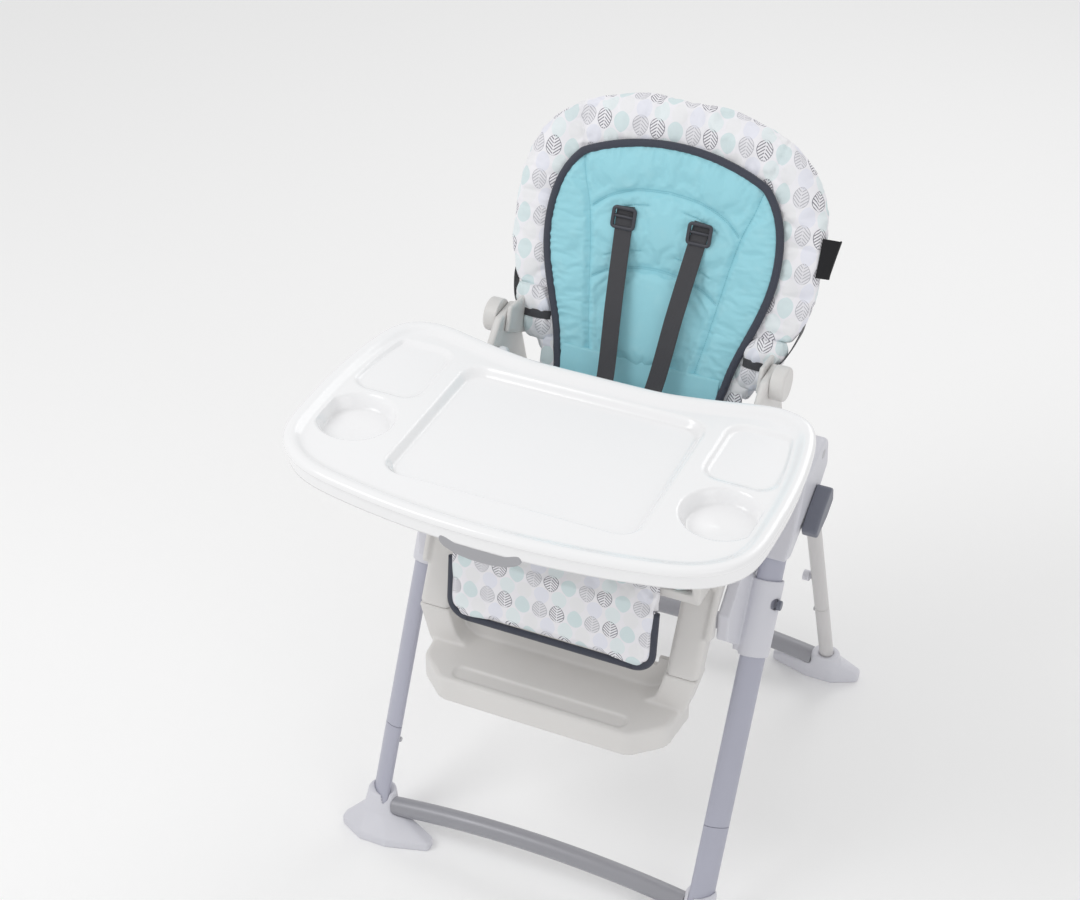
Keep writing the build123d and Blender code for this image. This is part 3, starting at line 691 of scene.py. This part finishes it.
def webbing(name, base):
    """Ribbed polypropylene webbing: coarse picks across, with a painted highlight on the crest of each pick."""
    finish = Finish(name, base, 0.6, Sheen_Weight=0.15, Sheen_Roughness=0.5, Specular_IOR_Level=0.4)
    flat, u, v = finish.cloth()
    across = 1.9 * MM
    pick = 1.5 * MM
    row = (v / pick).floor()
    a = (u / across + row.modulo(2.0) * 0.5).fract() - 0.5
    b = (v / pick).fract() - 0.5
    bead = (a * a + b * b).ramp(0.24, 0.02)
    finish.bump(bead, 0.0005, 0.8)
    # painted highlight: a pale spot on the crest of each pick
    pick_highlight = (a * a + b * b * 1.6).ramp(0.035, 0.012)
    finish.paint(pick_highlight * 0.5, darker(base, 3.2))
    fibre = finish.noise(flat, 700, 3)
    finish.paint(fibre.ramp(0.45, 0.8) * 0.35, darker(base, 1.8))
    finish.roughen(fibre * 0.25 + 0.45)
    return finish.material


def zinc(name, base):
    """Brushed zinc-plated steel."""
    finish = Finish(name, base, 0.3, Metallic=1.0)
    where = finish.place()
    brushed = finish.noise(where, 600, 4, 0.7)
    finish.roughen(brushed * 0.25 + 0.2)
    finish.bump(brushed, 0.0001, 0.3)
    finish.paint(finish.noise(where, 60, 4).ramp(0.5, 0.8) * 0.3, darker(base, 0.6))
    return finish.material


def thread(name, base):
    """Twisted sewing thread."""
    finish = Finish(name, base, 0.55, Sheen_Weight=0.3, Sheen_Roughness=0.4)
    where = finish.place()
    twist = finish.noise(where, 2600, 2)
    finish.bump(twist, 0.0002, 0.6)
    finish.paint(twist.ramp(0.45, 0.7) * 0.3, darker(base, 0.8))
    return finish.material


FINISHES = {name: make(name, colour(*tint), *rest) for name, make, tint, *rest in (
    ("shell_plastic", moulded, (221, 219, 217), 0.42),
    ("frame_plastic", moulded, (214, 214, 221), 0.4),
    ("lever_plastic", moulded, (112, 115, 127), 0.4),
    ("buckle_plastic", moulded, (66, 67, 74), 0.38, 1.4),
    ("button_plastic", moulded, (168, 168, 172), 0.42),
    ("front_paint", powder_coat, (176, 177, 191)),
    ("rear_paint", powder_coat, (205, 203, 203)),
    ("bar_paint", powder_coat, (152, 152, 158)),
    ("tray_plastic", tray_gloss, (246, 246, 247)),
    ("teal_fabric", teal_satin, (158, 218, 230)),
    ("leaf_fabric", leaf_print, (243, 242, 246)),
    ("piping_fabric", twill, (70, 73, 84)),
    ("tag_fabric", twill, (34, 34, 37), 0.7 * MM),
    ("webbing", webbing, (64, 64, 68)),
    ("steel", zinc, (190, 190, 194)),
    ("teal_thread", thread, (120, 190, 204)),
)}
for part in frame["record"]["subparts"]:
    node = nodes[part["node"]]
    node.data.materials.clear()
    node.data.materials.append(FINISHES[part["material_slot"]])


def dress(piece, slot, body=None, stands_for=(), finish=None):
    """Gives a new piece the material of its slot, or of finish if given, puts it on its body and hides the CAD
    nodes it stands for.
    """
    piece.data.materials.clear()
    piece.data.materials.append(FINISHES[finish or slot])
    if body:
        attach(piece, body)
    if stands_for:
        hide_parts(*stands_for)
    return piece


# -------- moulded and painted CAD nodes

for node, size, rounds in (("hub_housing", 1.8, 6), ("height_sleeve", 1.8, 5), ("fold_lever", 1.2, 5),
                           ("front_foot", 1.8, 8), ("rear_foot", 1.8, 8), ("recline_cap", 1.2, 4),
                           ("armrest_rail", 1.6, 5)):
    for side, sign in SIDES:
        soften(f"{node}_{side}", size * MM, rounds)
for node, size, rounds in (("seat_shell", 2.6, 4), ("footrest", 2.2, 5), ("backrest_shell", 2.4, 5),
                           ("tray_lever", 1.0, 4), ("recline_handle", 1.2, 4), ("rear_knobs", 0.7, 4)):
    soften(node, size * MM, rounds)

# -------- tray top

TRAY_FLOOR = 7 * MM         # floor below the rim
TRAY_WALL = 3 * MM
RECESS_DEPTH = 11 * MM
RECESS_CORNER = 26 * MM
RECESS_FRONT_HALF = 168 * MM
RECESS_REAR_HALF = 166 * MM
RECESS_MARGIN = 22 * MM     # the recess runs this far past the plate's opening, less in front
RECESS_EDGE = 6 * MM
CUP_RADIUS = 48 * MM
CUP_DEPTH = 19 * MM
CUP_BOWL = 3 * MM           # how much deeper the middle of a cup is
CUP_EDGE = 5.5 * MM
WELL_DEPTH = 4.5 * MM
WELL_BEHIND = 124 * MM      # from the middle of a cup back to the middle of its well
WELL_HALF_X = 47 * MM
WELL_HALF_Y = 60 * MM
WELL_CORNER = 24 * MM
WELL_EDGE = 5 * MM
tray_low, tray_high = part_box("tray_top")


def eased(distance, reach):
    """1 well inside an edge, 0 well outside it, with an S between."""
    t = np.clip(0.5 - distance / (2 * reach), 0, 1)
    return t * t * (3 - 2 * t)


def box_distance(x, y, half_x, half_y, corner):
    """Distance to a box with round corners, negative inside."""
    over_x = np.abs(x) - half_x + corner
    over_y = np.abs(y) - half_y + corner
    outside = np.hypot(np.maximum(over_x, 0), np.maximum(over_y, 0))
    return outside + np.minimum(np.maximum(over_x, over_y), 0) - corner


def tray_sink(x, y):
    """How far the tray's floor lies below its rim at x, y."""
    front = openings["plate_recess"][0][1] - RECESS_MARGIN + RECESS_EDGE
    rear = openings["plate_recess"][1][1] + RECESS_MARGIN
    share = np.clip((y - front) / (rear - front), 0, 1)
    half = RECESS_FRONT_HALF + (RECESS_REAR_HALF - RECESS_FRONT_HALF) * share
    recess = box_distance(x, y - (front + rear) / 2, half, (rear - front) / 2, RECESS_CORNER)
    sink = TRAY_FLOOR + RECESS_DEPTH * eased(recess, RECESS_EDGE)
    for name in [name for name in openings if name.startswith("cup")]:
        low, high = openings[name]
        from_x = x - (low[0] + high[0]) / 2
        from_y = y - (low[1] + high[1]) / 2
        away = np.hypot(from_x, from_y) - CUP_RADIUS
        bowl = np.clip(-away / CUP_RADIUS, 0, 1)
        sink = sink + (CUP_DEPTH + CUP_BOWL * bowl) * eased(away, CUP_EDGE)
        drawn_in = 0.01 * (low[0] + high[0])
        well = box_distance(from_x + drawn_in, from_y - WELL_BEHIND, WELL_HALF_X, WELL_HALF_Y, WELL_CORNER)
        sink = sink + WELL_DEPTH * eased(well, WELL_EDGE)
    return sink


def build_tray_top():
    """A thin shell: the rim's section carried round the outline of the CAD tray, then the floor."""
    middle = Vector((0, (tray_low.y + tray_high.y) / 2, tray_high.z - 4 * MM))
    around = 640
    outline = np.array(silhouette("tray_top", middle, ACROSS, UP.cross(ACROSS), around))[:, :2]
    for _ in range(3):
        outline = (np.roll(outline, 1, 0) + 2 * outline + np.roll(outline, -1, 0)) / 4
    tangent = np.roll(outline, -1, 0) - np.roll(outline, 1, 0)
    tangent /= np.linalg.norm(tangent, axis=1)[:, None]
    inwards = np.stack([-tangent[:, 1], tangent[:, 0]], 1)
    # Rim section: inset from the outline, height below the rim, both in mm.
    section = [(5.0, -31.0), (4.4, -24.0), (3.8, -15.0), (3.4, -12.2), (2.2, -11.0), (0.8, -10.2),
               (0.1, -8.6), (0.0, -6.0), (0.6, -3.4), (2.4, -1.3), (5.0, -0.3), (8.5, 0.0), (12.0, -0.3),
               (15.5, -1.4), (18.5, -3.2), (21.5, -5.2), (25.0, -6.6), (29.0, -7.0)]
    insets, heights = np.array(section).T * MM
    fine = np.linspace(0, len(section) - 1, 52)
    insets = np.interp(fine, range(len(section)), insets)
    heights = np.interp(fine, range(len(section)), heights)
    for _ in range(4):
        insets[1:-1] = (insets[:-2] + 2 * insets[1:-1] + insets[2:]) / 4
        heights[1:-1] = (heights[:-2] + 2 * heights[1:-1] + heights[2:]) / 4
    rings = []
    for inset, height in zip(insets, heights):
        rings.append(np.column_stack([outline + inwards * inset, np.full(around, tray_high.z + height)]))
    inner_x, inner_y = (outline + inwards * insets[-1]).T
    steps = 130
    for step in range(1, steps + 1):
        share = 1 - step / (steps + 0.5)
        x = inner_x * share
        y = middle.y + (inner_y - middle.y) * share
        rings.append(np.column_stack([x, y, tray_high.z - tray_sink(x, y)]))
    vertices = np.concatenate(rings)
    faces = side_faces(len(rings), around)
    faces.append(tuple(range(len(vertices) - around, len(vertices))))
    piece = add_piece("tray_top_shell", vertices, faces)
    wall = piece.modifiers.new("wall", "SOLIDIFY")
    wall.thickness = TRAY_WALL
    wall.offset = -1
    bake_modifiers(piece)
    return piece


dress(build_tray_top(), "tray_plastic", "tray_top", ["tray_top"])

# -------- seat back: padded cover and plain insert

SEAMS = {
    "long": [(131, 74), (122, 38), (111, 6), (102, -40), (95, -90), (86, -150), (76, -206)],
    "upper": [(108, 4), (84, 24), (46, 39), (0, 44)],
    "lower": [(93, -92), (68, -77), (30, -66), (0, -63)],
}
DART = [(132, 80), (138, 104), (145, 128), (151, 150)]
SLOTS = [[(24, 21), (48, 17), (76, 5)], [(24, -42), (50, -47), (78, -59)]]


def both_sides(points):
    """A line on the right half of the backrest, and the same one mirrored, in metres."""
    line = [(x * MM, s * MM) for x, s in points]
    return [line, [(-x, s) for x, s in line]]


cross_lines = both_sides(SEAMS["upper"]) + both_sides(SEAMS["lower"])
insert_lines = both_sides(SEAMS["long"]) + cross_lines
slot_lines = both_sides(SLOTS[0]) + both_sides(SLOTS[1])
insert_low, insert_high = span("back_insert", BACK_UP)
insert_centre = on_back(0, 1 * MM, (insert_low + insert_high) / 2 - BACK_S + 20 * MM)
insert_outline = silhouette("back_insert", insert_centre, ACROSS, BACK_UP, 240)
insert_flat = back_frame(as_rows(insert_outline))[:, [0, 2]]
insert_loop = [tuple(p) for p in insert_flat] + [tuple(insert_flat[0])]


def inside_loop(points, loop):
    """True for the flat points inside a closed line."""
    result = np.zeros(len(points), bool)
    for (ax, ay), (bx, by) in zip(loop, loop[1:]):
        if ay == by:
            continue
        crosses = (ay > points[:, 1]) != (by > points[:, 1])
        where = ax + (points[:, 1] - ay) * (bx - ax) / (by - ay)
        result ^= crosses & (points[:, 0] < where)
    return result


PRINT_CENTRE = -30 * MM     # height on the back from which the print spreads round the sides


def wrap_print(piece):
    """Stamps the print of the pad: flat in front, and carried straight on round the sides."""
    x, n, s = back_frame(vertices_of(piece)).T
    out = np.stack([x, s - PRINT_CENTRE], 1)
    length = np.maximum(np.linalg.norm(out, axis=1), 1e-6)
    beyond = np.clip(n - 6 * MM, 0, None)
    stamp(piece, np.stack([x, s], 1) + out / length[:, None] * beyond[:, None])


def held_where(*places):
    """1 where a vertex is in any of the given places, 0 elsewhere."""
    return np.where(np.any(places, axis=0), 1.0, 0.0)


def build_back_pad():
    piece = copy_of("back_pad", "back_cover")
    remesh(piece, 5 * MM, 3)
    local = back_frame(vertices_of(piece))
    flat = local[:, [0, 2]]
    edge = distance_to(flat, [insert_loop])[0]
    dart = distance_to(flat, both_sides(DART))[0]
    front = local[:, 1] < 20 * MM
    covered = inside_loop(flat, insert_loop) | (edge < 5 * MM)
    held = held_where(covered & front, (dart < 3 * MM) & front, local[:, 1] > 22 * MM)
    inflate(piece, held, 5.0, 9 * MM, -0.05)
    subdivide(piece)
    local = back_frame(vertices_of(piece))
    flat = local[:, [0, 2]]
    front = np.clip((24 * MM - local[:, 1]) / (10 * MM), 0, 1)[:, None]
    sew(piece, flat, both_sides(DART), normals_of(piece) * -front, 2.5 * MM, 2.2 * MM, 0.9 * MM, 15 * MM)
    sew(piece, flat, [insert_loop], normals_of(piece) * -front, 0.0, 3.2 * MM, 1.1 * MM, 19 * MM)
    wrap_print(piece)
    return piece


def build_back_insert():
    piece = copy_of("back_insert", "back_liner")
    remesh(piece, 3.6 * MM, 2)
    points = vertices_of(piece)
    local = back_frame(points)
    flat = local[:, [0, 2]]
    front = local[:, 1] < 1 * MM
    seam = distance_to(flat, insert_lines)[0]
    slot = distance_to(flat, slot_lines)[0]
    edge = distance_to(flat, [insert_loop])[0]
    sunk = 3.2 * MM * (np.exp(-(seam / (6 * MM)) ** 2) + np.exp(-(edge / (9 * MM)) ** 2)) * front
    points = points + np.outer(sunk, np.array(BACK_OUT))
    move_to(piece, points)
    held = held_where(seam < 2.6 * MM, edge < 5 * MM, slot < 2.4 * MM, ~front)
    inflate(piece, held, 4.0, 5.5 * MM, -0.04)
    subdivide(piece)
    local = back_frame(vertices_of(piece))
    flat = local[:, [0, 2]]
    inwards = np.array(BACK_OUT) * np.clip((3 * MM - local[:, 1]) / (3 * MM), 0, 1)[:, None]
    sew(piece, flat, insert_lines, inwards, 1.7 * MM, 1.6 * MM, 0.55 * MM, 11 * MM)
    sew(piece, flat, slot_lines, inwards, 1.2 * MM, 1.5 * MM, 0.6 * MM, 9 * MM)
    sew(piece, flat, [insert_loop], inwards, 0.0, 3.5 * MM, 0.7 * MM, 13 * MM)
    stamp(piece, flat)
    return piece


back_cover = dress(build_back_pad(), "leaf_fabric", "backrest", ["back_pad"])
back_liner = dress(build_back_insert(), "teal_fabric", "backrest", ["back_insert"])


RAY_START = 60 * MM         # how far in front of a line the rays towards a surface begin


def rest_on(piece, path, towards, lift):
    """Lays a path on a piece's surface: each point moves along a direction until it meets it."""
    tree = tree_of(piece.data)
    laid = []
    normals = []
    for point in path:
        hit, normal, _, _ = tree.ray_cast(Vector(point) - towards * RAY_START, towards)
        if hit is None:
            hit, normal = Vector(point), -towards
        if normal.dot(towards) > 0:
            normal = -normal
        laid.append(hit + normal * lift)
        normals.append(normal)
    return np.array(laid), np.array(normals)


def back_line(line, spacing=1.5 * MM):
    """A line on the front of the backrest as evenly spaced points in the row frame."""
    return smooth_path([on_back(x, 0, s) for x, s in line], spacing)


THREAD_OFFSET = 1.6 * MM    # from a seam to the thread beside it
thread_runs = []
for line in insert_lines + slot_lines:
    for offset in (-THREAD_OFFSET, THREAD_OFFSET) if line in cross_lines else (THREAD_OFFSET,):
        beside = [(x, s + offset) for x, s in line]
        path, normals = rest_on(back_liner, back_line(beside), BACK_OUT, 0.2 * MM)
        thread_runs.append(stitches("stitches", path, normals, 2.3 * MM, 3.3 * MM, 0.42 * MM))


def joined(name, pieces):
    """Several pieces as one."""
    vertices = []
    faces = []
    for piece in pieces:
        first = len(vertices)
        vertices += [v.co.copy() for v in piece.data.vertices]
        faces += [tuple(first + i for i in polygon.vertices) for polygon in piece.data.polygons]
        bpy.data.objects.remove(piece)
    return add_piece(name, vertices, faces)


dress(joined("liner_stitching", thread_runs), "teal_fabric", "backrest", finish="teal_thread")

# Piping round the liner, on the line where it is sewn to the cover. It is open at the foot.
PIPING_HALF = 4.6 * MM
PIPING_DEEP = 5.6 * MM
PIPING_POWER = 2.2
insert_foot = insert_flat[:, 1].min() + 4 * MM
above_foot = insert_flat[:, 1] > insert_foot
first_above = int(np.nonzero(above_foot & ~np.roll(above_foot, 1))[0][0])
piping_flat = [point for point in np.roll(insert_flat, -first_above, 0) if point[1] > insert_foot]
piping_path = smooth_path([on_back(x, 0.5 * MM, s) for x, s in piping_flat], 4 * MM)
back_piping = ribbon("back_piping", piping_path, BACK_OUT, PIPING_HALF, PIPING_DEEP, PIPING_POWER)
dress(back_piping, "piping_fabric", "backrest")

# The liner and the cover run on from the back down to the seat, hidden for the most part by the tray.
def bridge_run(behind):
    """The way of a cloth from the foot of the back to the seat, set back by behind at its upper end."""
    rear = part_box("seat_insert")[1]
    return [on_back(0, behind - 1 * MM, insert_foot + 12 * MM),
            on_back(0, behind, insert_foot - 22 * MM),
            Vector((0, rear.y + 24 * MM + behind, rear.z + 30 * MM)),
            Vector((0, rear.y - 6 * MM, rear.z - 3 * MM))]


LINER_BRIDGE_HALF = 117 * MM
COVER_BRIDGE_HALF = 150 * MM
COVER_BEHIND = 9 * MM
liner_run = bridge_run(0)
for name, run, half, slot in (("liner_bridge", liner_run, LINER_BRIDGE_HALF, "teal_fabric"),
                              ("cover_bridge", bridge_run(COVER_BEHIND), COVER_BRIDGE_HALF, "leaf_fabric")):
    bridge = ribbon(name, smooth_path(run, 4 * MM), ACROSS, half, 3.2 * MM, 6.0, around=72)
    dress(bridge, slot)
    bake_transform(bridge, "backrest", "seat", start=run[0], end=run[-1])
for side, sign in SIDES:
    piping_end = Vector(piping_path[0] if sign > 0 else piping_path[-1])
    beside_liner = ACROSS * sign * (LINER_BRIDGE_HALF + 3 * MM)
    run = [piping_end + BACK_UP * 3 * MM, piping_end, *[point + beside_liner for point in liner_run[1:]]]
    path = smooth_path(run, 4 * MM)
    piping = ribbon(f"bridge_piping_{side}", path, BACK_OUT, PIPING_HALF, PIPING_DEEP, PIPING_POWER)
    dress(piping, "piping_fabric")
    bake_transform(piping, "backrest", "seat", start=liner_run[0], end=liner_run[-1])

# -------- harness

def belt(name, points, across, spacing=4 * MM):
    """A length of 25 mm webbing through points."""
    return ribbon(name, smooth_path(points, spacing), across, 12.5 * MM, 0.9 * MM, 7.0, around=28)


buckle_low, buckle_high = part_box("harness_buckle")
for side, sign in SIDES:
    strap = corners_of(f"shoulder_strap_{side}")
    height = back_frame(strap)[:, 2]
    head = Vector(strap[height > height.mean()].mean(0))
    foot = Vector(strap[height <= height.mean()].mean(0))
    buckle_top = Vector((sign * 14 * MM, (buckle_low.y + buckle_high.y) / 2, buckle_high.z - 4 * MM))
    start = head - BACK_OUT * 0.5 * MM
    points = [start + (head - foot).normalized() * 8 * MM, start,
              (head + foot) * 0.5 - BACK_OUT * 2 * MM, foot,
              foot * 0.42 + buckle_top * 0.58 + Vector((sign * 2 * MM, 0, 6 * MM)), buckle_top]
    shoulder_belt = dress(belt(f"shoulder_belt_{side}", points, ACROSS), "webbing", None,
                          [f"shoulder_strap_{side}"])
    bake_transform(shoulder_belt, "backrest", "seat", start=foot + UP * 30 * MM, end=buckle_top)


def slider_frame(name, middle, half_x, half_s, bar, depth):
    """A two-bar strap slider: a rounded frame with one bar across, seen from the front of the backrest."""
    loop = []
    corner = 4 * MM
    for cx, cs, first in ((1, 1, 0), (-1, 1, 90), (-1, -1, 180), (1, -1, 270)):
        for step in range(5):
            angle = math.radians(first + step * 22.5)
            loop.append(middle + ACROSS * (cx * (half_x - corner) + corner * math.cos(angle))
                        + BACK_UP * (cs * (half_s - corner) + corner * math.sin(angle)))
    frame_piece = ribbon("loop", as_rows(loop), BACK_OUT, depth, bar, 3.0, closed=True)
    rung = [middle + ACROSS * half_x * share + BACK_UP * 2 * MM for share in (-1, -0.5, 0, 0.5, 1)]
    rung_piece = ribbon("rung", as_rows(rung), BACK_OUT, depth * 0.8, bar * 0.8, 3.0)
    return joined(name, [frame_piece, rung_piece])


for side, sign in SIDES:
    low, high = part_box(f"strap_slider_{side}")
    slider = slider_frame(f"belt_slider_{side}", (low + high) / 2, 15.5 * MM, 13.5 * MM, 2.5 * MM, 2.4 * MM)
    dress(slider, "buckle_plastic", "backrest", [f"strap_slider_{side}"])


def rounded_block(name, node, power, crown):
    """A moulded body in the box of a CAD node: superellipse rings along Y, at its ends crown times as big."""
    low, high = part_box(node)
    centre = (low + high) / 2
    half = (high - low) / 2
    rows = 12
    around = 40
    rings = []
    for row in range(rows + 1):
        t = -1 + 2 * row / rows
        shrink = (1 - abs(t) ** 5) ** 0.28 if abs(t) < 1 else 0.0
        shrink = crown + (1 - crown) * shrink
        ring = []
        for turn in range(around):
            across, up = superellipse(turn, around, power)
            ring.append(centre + Vector((half.x * shrink * across, half.y * t, half.z * shrink * up)))
        rings.append(ring)
    return loft(name, rings)


dress(rounded_block("buckle_body", "harness_buckle", 3.4, 0.8), "buckle_plastic", "seat", ["harness_buckle"])
dress(rounded_block("buckle_press", "buckle_button", 4.0, 0.7), "button_plastic", "buckle_button",
      ["buckle_button"])

low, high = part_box("crotch_strap")
crotch_points = [(0, high.y + 26 * MM, low.z - 4 * MM), (0, high.y + 12 * MM, low.z + 2 * MM),
                 (0, high.y, low.z + 12 * MM), (0, low.y, high.z + 3 * MM)]
dress(belt("crotch_belt", crotch_points, ACROSS, 3 * MM), "webbing", "seat", ["crotch_strap"])
for side, sign in SIDES:
    low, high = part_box(f"waist_strap_{side}")
    near, far = (low.x, high.x) if sign > 0 else (high.x, low.x)
    mid_z = (low.z + high.z) / 2
    drop = 14 * MM
    waist_points = [(near - sign * 4 * MM, low.y, mid_z),
                    (near + (far - near) * 0.25, low.y + 4 * MM, mid_z - drop),
                    (near + (far - near) * 0.7, low.y + 30 * MM, mid_z - 1.2 * drop),
                    (far, low.y + 66 * MM, mid_z)]
    dress(belt(f"waist_belt_{side}", waist_points, UP), "webbing", "seat", [f"waist_strap_{side}"])

# -------- seat cushions and calf pad

def build_cushion(node, name, slot, size, cap, flat_of, held_at, channels=()):
    """A padded seat piece from its CAD solid: blown up between its channels, then sewn along them."""
    piece = copy_of(node, name)
    remesh(piece, size, 2)
    points = vertices_of(piece)
    held = held_at(points)
    if channels:
        held = held_where(held, distance_to(flat_of(points), channels)[0] < 0.7 * size)
    inflate(piece, held_where(held), 4.0, cap, -0.03)
    subdivide(piece)
    if channels:
        flat = flat_of(vertices_of(piece))
        sew(piece, flat, channels, -normals_of(piece), 2.0 * MM, 2.0 * MM, 0.7 * MM, 12 * MM)
    stamp(piece, flat_of(vertices_of(piece)))
    dress(piece, slot, "seat", [node])


def flat_cloth(across, along, down):
    """How a cloth lies flat: carried straight on over the edges."""
    return lambda points: np.stack([points[:, across], points[:, along] + points[:, down]], 1)


SEWN = 4 * MM               # this much next to what a cushion lies on is sewn down
seen_from_above = flat_cloth(0, 1, 2)
pad_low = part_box("seat_pad")[0]
build_cushion("seat_pad", "seat_cover", "leaf_fabric", 5 * MM, 4 * MM, seen_from_above,
              lambda points: points[:, 2] < pad_low.z + SEWN)
low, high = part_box("seat_insert")
CHANNEL_X = 45 * MM
channels = [[(x, low.y + low.z), (x, high.y + high.z)] for x in (-CHANNEL_X, CHANNEL_X)]
build_cushion("seat_insert", "seat_liner", "teal_fabric", 4 * MM, 4 * MM, seen_from_above,
              lambda points: points[:, 2] < low.z + SEWN, channels)
for side, sign in SIDES:
    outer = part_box(f"seat_wing_{side}")[1 if sign > 0 else 0].x
    build_cushion(f"seat_wing_{side}", f"seat_side_{side}", "leaf_fabric", 4 * MM, 4 * MM,
                  flat_cloth(1, 2, 0), lambda points: np.abs(points[:, 0] - outer) < SEWN)

calf_low, calf_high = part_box("calf_pad")
CALF_LEAN = 15 * MM / (calf_high.z - calf_low.z)    # its front leans back from the lower edge


def calf_front(z):
    return calf_low.y + (z - calf_low.z) * CALF_LEAN


build_cushion("calf_pad", "calf_cover", "leaf_fabric", 4.5 * MM, 6 * MM, flat_cloth(0, 2, 1),
              lambda points: points[:, 1] - calf_front(points[:, 2]) > 15 * MM)

# Piping round the calf pad's sides and lower edge, by its left half from the middle up.
CALF_CORNER = 26 * MM
calf_half = calf_high.x + 1 * MM
corner_x = calf_half - CALF_CORNER
corner_z = calf_low.z + CALF_CORNER
half_loop = [(corner_x - 16 * MM, calf_low.z), (corner_x - 6 * MM, calf_low.z)]
for step in range(7):
    angle = math.radians(270 + step * 15)
    half_loop.append((corner_x + CALF_CORNER * math.cos(angle), corner_z + CALF_CORNER * math.sin(angle)))
half_loop += [(calf_half, z) for z in (corner_z + 6 * MM, corner_z + 16 * MM, calf_high.z - 40 * MM)]
calf_loop = [(-x, z) for x, z in half_loop[::-1]] + half_loop
calf_path = smooth_path([(x, calf_front(z) + 3 * MM, z) for x, z in calf_loop], 4 * MM)
dress(ribbon("calf_piping", calf_path, FORWARD, 4.4 * MM, 5.2 * MM, PIPING_POWER), "piping_fabric", "seat")

# -------- tag and side elastics

TAG_HALF = 27 * MM
TAG_LEAN = 0.16             # how much the tag draws in towards its lower end
tag_low, tag_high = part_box("fabric_tag")
tag_n, tag_s = back_frame(as_rows([(tag_low + tag_high) / 2]))[0, 1:]
tag_bend = ((-1, 3), (0.5, 0), (-1, -2.4), (-9, -6), (-19, -9.5))   # outwards and backwards, in mm
tag_points = [on_back(tag_high.x + out * MM, tag_n + n * MM, tag_s) for out, n in tag_bend]
tag_across = BACK_UP + ACROSS * TAG_LEAN
tag = ribbon("side_tag", smooth_path(tag_points, 1.5 * MM), tag_across, TAG_HALF, 0.6 * MM, 9.0, around=20)
dress(tag, "tag_fabric", "backrest", ["fabric_tag"])


def elastic(name, path, across, half, around=20, closed=False, stands_for=()):
    """Flat dark elastic on the backrest."""
    band = ribbon(name, path, across, half, 0.8 * MM, 7.0, closed, around)
    dress(band, "webbing", "backrest", stands_for)


def gathered_corner(name, sign):
    """A lower corner of the cover: a roll of cloth in folds, drawn in where the elastic goes round it."""
    rings = []
    around = 56
    for row in range(17):
        t = row / 16
        ends = abs(2 * t - 1) ** 3
        across = ACROSS * (29 - 9 * ends) * MM
        outwards = BACK_OUT * (17 - 7 * ends) * MM
        waist = 1 - 0.3 * math.exp(-((t - 0.52) / 0.1) ** 2)
        centre = on_back(sign * (176 - 20 * t) * MM, (4 + 10 * t) * MM, (-122 - 74 * t) * MM)
        ring = []
        for turn in range(around):
            angle = 2 * math.pi * turn / around
            ripple = 1 + 0.07 * math.sin(7 * angle + 5 * t) + 0.04 * math.sin(11 * angle - 9 * t + sign)
            ring.append(centre + (across * math.cos(angle) + outwards * math.sin(angle)) * waist * ripple)
        rings.append(ring)
    corner = loft(name, rings)
    wrap_print(corner)
    dress(corner, "leaf_fabric", "backrest")


for side, sign in SIDES:
    gathered_corner(f"cover_gather_{side}", sign)
    middle = on_back(sign * 165 * MM, 9 * MM, -160 * MM)
    band = []
    for step in range(24):
        across, up = superellipse(step, 24, 2)
        band.append(middle + ACROSS * across * 23 * MM + BACK_OUT * up * 14.5 * MM)
    elastic(f"gather_band_{side}", smooth_path(band, 3 * MM, closed=True), BACK_UP, 6 * MM, closed=True)
    tail = [on_back(sign * x * MM, n * MM, s * MM)
            for x, n, s in ((187, 2, -158), (200, 9, -140), (209, 20, -112), (210, 33, -92))]
    elastic(f"side_elastic_{side}", smooth_path(tail, 3 * MM), BACK_OUT + BACK_UP * 0.3, 7 * MM)

low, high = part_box("back_elastic")
height = back_frame(as_rows([(low + high) / 2]))[0, 2]
path = smooth_path([on_back(x, 44 * MM, height) for x in (low.x, 0, high.x)], 8 * MM)
elastic("rear_elastic", path, BACK_UP, 8 * MM, around=24, stands_for=["back_elastic"])

# -------- floor, light and camera

FLOOR_HALF = 6.0
floor_corners = [(x * FLOOR_HALF, y * FLOOR_HALF, 0) for x, y in ((-1, -1), (1, -1), (1, 1), (-1, 1))]
floor = add_piece("floor", floor_corners, [(0, 1, 2, 3)])
floor_finish = Finish("floor", (0.97, 0.97, 0.97, 1), 0.8, Specular_IOR_Level=0.1)
floor.data.materials.append(floor_finish.material)

world = bpy.data.worlds.new("studio")
scene.world = world
world.use_nodes = True
background = world.node_tree.nodes["Background"]
background.inputs["Color"].default_value = (1, 1, 1, 1)
background.inputs["Strength"].default_value = 0.72


def soft_light(name, place, aim, size, power):
    data = bpy.data.lights.new(name, "AREA")
    data.shape = "DISK"
    data.size = size
    data.energy = power
    lamp = add_object(name, data)
    lamp.location = place
    lamp.rotation_euler = (Vector(aim) - Vector(place)).to_track_quat("-Z", "Y").to_euler()


soft_light("key", (-1.6, -1.5, 2.9), (0, 0, 0.7), 1.6, 24)
soft_light("fill", (2.4, -1.8, 1.8), (0, 0, 0.6), 2.0, 8)
soft_light("back", (0.4, 2.4, 2.6), (0, 0, 0.7), 1.6, 12)

camera_data = bpy.data.cameras.new("camera")
camera_data.sensor_width = 36
camera_data.lens = 72.3
camera = add_object("camera", camera_data)
camera.location = (0.898, -2.204, 2.326)
camera.rotation_euler = (math.radians(54.07), 0, math.radians(24.22))
scene.camera = camera
scene.view_settings.view_transform = "Standard"
